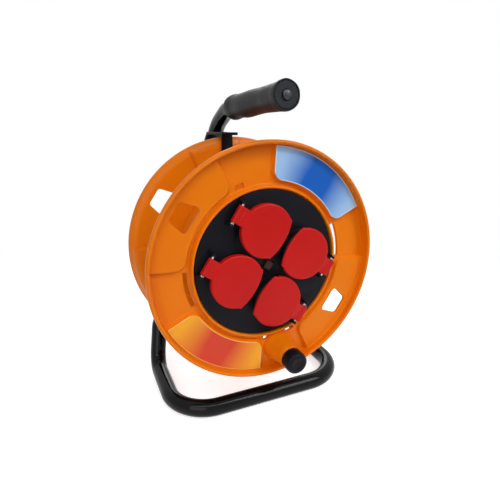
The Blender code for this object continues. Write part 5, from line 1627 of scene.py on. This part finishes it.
@dataclass
class WindingKnob(Assembly):
    """The knob that spins on the boss."""

    body: str = "knob"
    bore: float = 3.2 * MM
    head_bore: float = 4.4 * MM
    head_wall: float = 4 * MM
    rounding: float = 4 * MM
    groove: float = 0.45 * MM

    def build(self) -> None:
        """Builds the knob with a grooved skirt, a rounded front and a dished face."""
        low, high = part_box("crank_knob")
        radius, length = (high.x - low.x) / 2, high.y - low.y
        centre = Vector(((low.x + high.x) / 2, high.y, (low.z + high.z) / 2))
        bore, depth, waist = self.bore, length - self.head_wall, radius - self.groove
        profile = [(bore, 0.3 * MM), (0.86 * radius, 0.0), (0.93 * radius, 0.5 * MM), (radius, 1.3 * MM),
                   (radius, 2.4 * MM), (waist, 2.8 * MM), (waist, 3.4 * MM), (radius, 3.8 * MM)]
        profile += arc(self.rounding, 0, QUARTER_TURN, 8, (radius - self.rounding, length - self.rounding))
        profile += [(0.5 * radius, length - 0.25 * MM), (0.36 * radius, length - 0.7 * MM),
                    (0.15 * radius, length - 0.8 * MM)]
        inside = [(0.12 * radius, depth), (self.head_bore, depth), (self.head_bore, depth - 2.8 * MM),
                  (bore, depth - 2.8 * MM)]
        place, turns = placed(centre, FORWARD, UP), full_turn(56)
        rings = [ring_about(place, reach, height, turns) for reach, height in inside + profile]
        piece = Shape().skin(rings).to_object("winding_knob")
        self.add(piece, Palette.DISC, "black_plastic", "crank_knob")


# ---- frame ---------------------------------------------------------------------------------------
def rounded_path(corners: Sequence[Vector], radii: Sequence[float], step: float = 4.0) -> list[Vector]:
    """A path through corners, each rounded by its radius.

    Args:
        corners: The corner points.
        radii: A radius for each corner between the ends.
        step: Degrees from point to point along a bend.

    Returns:
        Points of the path.
    """
    path = [corners[0]]
    for before, corner, after, radius in zip(corners, corners[1:], corners[2:], radii):
        back, on = (before - corner).normalized(), (after - corner).normalized()
        half = back.angle(on) / 2
        centre = corner + (back + on).normalized() * radius / math.sin(half)
        start = corner + back * radius / math.tan(half) - centre
        end = corner + on * radius / math.tan(half) - centre
        angle = start.angle(end)
        steps = max(2, round(math.degrees(angle) / step))
        for index in range(steps + 1):
            share = index / steps
            mixed = start * math.sin((1 - share) * angle) + end * math.sin(share * angle)
            path.append(centre + mixed / math.sin(angle))
    return path + [corners[-1]]


@dataclass
class TubeFrame(Assembly):
    """The floor loop with its legs, and the upright bent forward into the handle."""

    body: str = "frame"
    tube: float = 9 * MM
    wall: float = 1.2 * MM
    frame_depth: float = 135.02 * MM
    base_half: float = 97 * MM
    base_front: float = 1.7 * MM
    base_rear: float = 106 * MM
    corner_radius: float = 42 * MM
    leg_spacing: float = 22.04 * MM
    leg_top: float = 24 * MM
    leg_bend: float = -43 * MM
    lean: Vector = field(default_factory=lambda: Vector((9.5 * MM, 18 * MM, 51 * MM)))
    plate_half: float = 28 * MM
    upright_straight: float = 40 * MM
    bulge: float = 36.45 * MM
    bulge_height: float = 104 * MM
    grip_front: Pair = (-27.5 * MM, 155.5 * MM)
    grip_slope: float = math.radians(2.8)
    grip_length: float = 119 * MM
    bend_start: float = 16.5 * MM
    shoulder: Pair = (34 * MM, 15 * MM)
    grip_end_wall: float = 4.6 * MM
    leg_bends: tuple[float, ...] = (28 * MM, 30 * MM, 26 * MM)
    upright_bends: tuple[float, ...] = (60 * MM, 30 * MM, 60 * MM, 50 * MM)
    bolt_hole: float = 3.3 * MM
    axle_hole: float = 4.3 * MM

    def leg(self, side: int) -> list[Vector]:
        """The corners of one leg, from its top down to the front run of the base.

        Args:
            side: -1 for the left leg, 1 for the right one.

        Returns:
            The corner points.
        """
        floor = self.tube - AXLE.z
        rear = at(side * self.base_half, self.base_rear, floor)
        lean = Vector((-side * self.lean.x, self.lean.y, self.lean.z))
        return [at(side * self.leg_spacing, self.frame_depth, self.leg_top),
                at(side * self.leg_spacing, self.frame_depth, self.leg_bend),
                rear + lean, rear, at(side * self.base_half, self.base_front, floor)]

    def grip_axis(self) -> tuple[Vector, Vector]:
        """The front end of the grip's axis and its direction to the back."""
        along = Vector((0, math.cos(self.grip_slope), -math.sin(self.grip_slope)))
        return at(0, *self.grip_front), along

    def upright(self) -> list[Vector]:
        """The middle line of the upright and the handle.

        Returns:
            Points of the path.
        """
        front, along = self.grip_axis()
        handle = front + along * (self.grip_length + self.bend_start)
        corners = [at(0, self.frame_depth, -self.plate_half),
                   at(0, self.frame_depth, self.upright_straight),
                   at(0, self.frame_depth + self.bulge, self.bulge_height),
                   handle + Vector((0, self.shoulder[0], -self.shoulder[1])), handle,
                   front + along * self.grip_end_wall]
        return rounded_path(corners, self.upright_bends)

    def hole(self, across: float, radius: float) -> Shape:
        """A bolt's or the axle's hole through a tube."""
        place = placed(at(across, self.frame_depth, 0), BACK, UP)
        return Shape().turned(rod(radius, -20 * MM, 20 * MM), place, 24)

    def build(self) -> None:
        """Builds both tubes with their bolt holes."""
        radii = [*self.leg_bends, self.corner_radius]
        path = rounded_path(self.leg(-1) + self.leg(1)[::-1], radii + radii[::-1])
        base = Shape().swept(path, self.tube, RIGHT, 32, self.wall).to_object("base_loop")
        for side in (-1, 1):
            combine(base, self.hole(side * self.leg_spacing, self.bolt_hole), Operation.CUT)
        self.add(base, Palette.TUBE, "black_paint", "base_loop_tube", angle=40.0)
        upright = Shape().swept(self.upright(), self.tube, RIGHT, 32, self.wall)
        piece = upright.to_object("upright_and_handle")
        combine(piece, self.hole(0, self.axle_hole), Operation.CUT)
        self.add(piece, Palette.TUBE, "black_paint", "upper_frame_tube", angle=40.0)


@dataclass
class HandGrip(Assembly):
    """The moulded grip: a palm swell, a bell at the rear and a flat front cap."""

    body: str = "frame"
    tubes: TubeFrame = field(default_factory=TubeFrame)
    bore: float = 9.6 * MM
    screw_hole: float = 2.8 * MM
    cap_wall: float = 4 * MM
    sides: int = 56
    flute: float = 0.12 * MM
    flutes: int = 6
    cap_radius: float = 11.1 * MM
    cap_seat: float = 11.4 * MM
    # share of the grip's length, and its radius there at the top and at the bottom, in millimetres
    stations: tuple[Row, ...] = (
        (0.0, 12.5, 12.6), (0.008, 12.8, 12.95), (0.04, 12.8, 12.95), (0.075, 12.2, 12.5),
        (0.2, 11.7, 11.9), (0.36, 11.7, 11.4), (0.52, 12.1, 12.0), (0.66, 12.2, 12.7),
        (0.78, 12.0, 11.9), (0.86, 12.2, 11.6), (0.905, 12.8, 12.7), (0.96, 12.95, 12.95),
        (0.985, 12.3, 12.4), (1.0, 10.9, 11.0))

    def section(self, top: float, bottom: float, turn: float) -> float:
        """The radius of the section at an angle from the top.

        Args:
            top: The radius at the top, in millimetres.
            bottom: The radius at the bottom, in millimetres.
            turn: The angle.

        Returns:
            The radius in metres.
        """
        share = (1 + math.cos(turn)) / 2
        wave = self.flute * math.cos(self.flutes * turn)
        return (bottom + (top - bottom) * share) * MM + wave - self.flute

    def build(self) -> None:
        """Builds the grip and its cap."""
        front, along = self.tubes.grip_axis()
        place, turns, length = placed(front, along, UP), full_turn(self.sides), self.tubes.grip_length
        tops = catmull([(share, top) for share, top, _ in self.stations], 5)
        bottoms = catmull([(share, bottom) for share, _, bottom in self.stations], 5)
        rings = []
        for (share, top), (_, bottom) in zip(tops, bottoms):
            height = max(0.0, share) * length
            reaches = [(self.section(top, bottom, turn), turn) for turn in turns]
            rings.append([place @ Vector((reach * math.cos(turn), reach * math.sin(turn), height))
                          for reach, turn in reaches])
        mouth = [(self.bore, length), (self.bore, self.cap_wall), (self.cap_seat, self.cap_wall - 0.2 * MM),
                 (self.cap_seat, 0.6 * MM), (self.cap_seat + 0.5 * MM, 0.0)]
        rings += [ring_about(place, radius, height, turns) for radius, height in mouth]
        piece = Shape().skin(rings, closed=True).to_object("grip_sleeve")
        self.add(piece, Palette.GRIP, "grip_plastic", "hand_grip", angle=50.0)
        hole, rim, inside = self.screw_hole, self.cap_radius, self.cap_wall - 0.5 * MM
        profile = [(hole, 0.9 * MM), (hole + 1.6 * MM, 0.9 * MM), (hole + 2.0 * MM, 0.35 * MM),
                   (rim - 0.5 * MM, 0.25 * MM), (rim - 0.1 * MM, 0.5 * MM), (rim, 1 * MM), (rim, inside),
                   (hole, inside)]
        cap = Shape().turned(profile, place, 56).to_object("grip_cap")
        self.add(cap, Palette.END_CAP, "grip_plastic", angle=30.0)


@dataclass
class Fasteners(Assembly):
    """The hexagon nuts at the back of the frame."""

    body: str = "frame"

    def nut(self, node: str, name: str) -> None:
        """A hexagon nut with chamfered corners, in the place of its CAD node.

        Args:
            node: The CAD node.
            name: The piece's name.
        """
        low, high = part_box(node)
        reach, half = max(high.z - low.z, high.x - low.x) / 2, (high.y - low.y) / 2
        hexagon = [(reach * math.cos(turn), reach * math.sin(turn)) for turn in full_turn(6)]
        place = placed((low + high) / 2, BACK, UP)
        piece = Shape().prism(hexagon, [(-half, 0.0), (half, 0.0)], place).to_object(name)
        wide, chamfer, flat = 1.04 * reach, half - 0.12 * reach, 0.9 * reach
        core = [(0.62 * reach, -half - 0.1 * MM), (flat, -half), (wide, -chamfer), (wide, chamfer),
                (flat, half), (0.62 * reach, half + 0.1 * MM)]
        combine(piece, Shape().turned(core, place, 48), Operation.TRIM)
        self.add(piece, Palette.ZINC, "zinc_steel", node, angle=25.0)

    def build(self) -> None:
        """Builds the nuts."""
        for node, name in (("axle_nut", "nut_axle"), ("frame_nut_left", "nut_left"),
                           ("frame_nut_right", "nut_right")):
            self.nut(node, name)


@dataclass
class KeptNodes(Assembly):
    """CAD nodes whose shape is right: they get a soft edge and their finish."""

    body: str = ""
    softness: float = 0.35 * MM
    weld_gap: float = 0.01 * MM
    sharp: float = math.radians(40)

    def build(self) -> None:
        """Finishes every CAD node that still shows."""
        finishes = {"zinc_steel": Palette.ZINC, "spring_steel": Palette.SPRING, "brass": Palette.BRASS,
                    "nylon": Palette.NYLON, "rubber": Palette.RUBBER, "black_paint": Palette.TUBE,
                    "orange_plastic": Palette.ORANGE}
        for name, node in frame["nodes"].items():
            if node.hide_render:
                continue
            old = node.data.materials[0].name.split(".")[0] if node.data.materials else ""
            # The grip screw takes the near-black finish, which paints in the shade of its recess in the
            # cap.
            finish = Palette.BLACKED if name == "grip_screw" else finishes.get(old, Palette.DISC)
            node.data.materials.clear()
            node.data.materials.append(finish.material())
            for polygon in node.data.polygons:
                polygon.use_smooth = True
            weld = node.modifiers.new("weld", "WELD")
            weld.merge_threshold = self.weld_gap
            bevel = node.modifiers.new("soft_edge", "BEVEL")
            bevel.width, bevel.segments, bevel.limit_method = self.softness, 2, "ANGLE"
            bevel.angle_limit = self.sharp
            bevel.harden_normals = True
            LOG.info("%s kept, %s", name, finish.value.name)


# ---- studio --------------------------------------------------------------------------------------
@dataclass
class Studio:
    """Floor, lights, world and camera."""

    camera_place: Vector = field(default_factory=lambda: Vector((-0.1703, -0.4115, 0.2866)))
    azimuth: float = math.radians(-23.59)
    elevation: float = math.radians(16.81)
    lens: float = 29.7
    floor_size: float = 12.0
    world_light: float = 0.34

    def build(self) -> None:
        """Builds the studio."""
        self.floor()
        self.world()
        self.lamp("key_light", Vector((0.75, -1.05, 1.1)), size=0.75, power=8.5)
        self.lamp("top_strip", Vector((-0.1, -0.85, 1.2)), size=2.2, power=7.0, depth=0.12)
        self.lamp("fill_light", Vector((-0.9, -1.1, 0.6)), size=0.9, power=5.0)
        self.lamp("rim_light", Vector((0.5, 1.2, 0.8)), size=0.6, power=3.5)
        self.camera()
        bpy.context.scene.view_settings.view_transform = "Standard"

    def floor(self) -> None:
        """The floor, just under the part."""
        half, level = self.floor_size / 2, CAD_BOX[0].z
        shape = Shape()
        corners = [shape.bm.verts.new(Vector((x, y, level))) for x, y in rectangle(half, half)]
        shape.bm.faces.new(corners)
        piece = shape.to_object("studio_floor")
        piece.data.materials.append(StudioFloor("studio_floor", (0.9, 0.9, 0.9), 0.6).material())

    def world(self) -> None:
        """A soft world that the camera and gloss see as white."""
        world = bpy.data.worlds.new("studio")
        bpy.context.scene.world = world
        world.use_nodes = True
        graph = Graph(world.node_tree)
        seen = graph.white_rays()
        strength = self.world_light + seen * (1.0 - self.world_light)
        background = graph.node("ShaderNodeBackground", {}, {"Color": WHITE, "Strength": strength})
        graph.finish(background, "ShaderNodeOutputWorld")

    def lamp(self, name: str, place: Vector, size: float, power: float, depth: float = 0.0) -> None:
        """A soft lamp aimed at the reel.

        Args:
            name: The lamp's name.
            place: Where it stands.
            size: Its width.
            power: Its power in watts.
            depth: Its height where it is a strip, or 0 where it is square.
        """
        data = bpy.data.lights.new(name, "AREA")
        data.energy, data.size = power, size
        if depth:
            data.shape, data.size_y = "RECTANGLE", depth
        lamp = bpy.data.objects.new(name, data)
        bpy.context.scene.collection.objects.link(lamp)
        lamp.location = place
        lamp.rotation_euler = (AXLE - place).to_track_quat("-Z", "Y").to_euler()

    def camera(self) -> None:
        """The camera, at standing height a little to the left."""
        data = bpy.data.cameras.new("camera")
        data.lens, data.sensor_width = self.lens, 36.0
        camera = bpy.data.objects.new("camera", data)
        bpy.context.scene.collection.objects.link(camera)
        camera.location = self.camera_place
        back = Vector((math.sin(self.azimuth) * math.cos(self.elevation),
                       -math.cos(self.azimuth) * math.cos(self.elevation), math.sin(self.elevation)))
        camera.rotation_euler = (-back).to_track_quat("-Z", "Y").to_euler()
        data.clip_start, data.clip_end = 0.01, 50.0
        bpy.context.scene.camera = camera


def main() -> None:
    """Builds the reel's looks in order."""
    logging.basicConfig(level=logging.INFO, format="%(name)s: %(message)s")
    Studio().build()
    FrontFlange().build()
    RearFlange().build()
    Barrel().build()
    Labels().build()
    Faceplate().build()
    for socket in SOCKETS:
        SocketWell(socket=socket).build()
        Lid(body=f"lid_{socket.number}_body", socket=socket).build()
        LidSpring(socket=socket).build()
    ResetButton().build()
    WindingKnob().build()
    TubeFrame().build()
    HandGrip().build()
    Fasteners().build()
    KeptNodes().build()


if __name__ == "__main__":
    main()
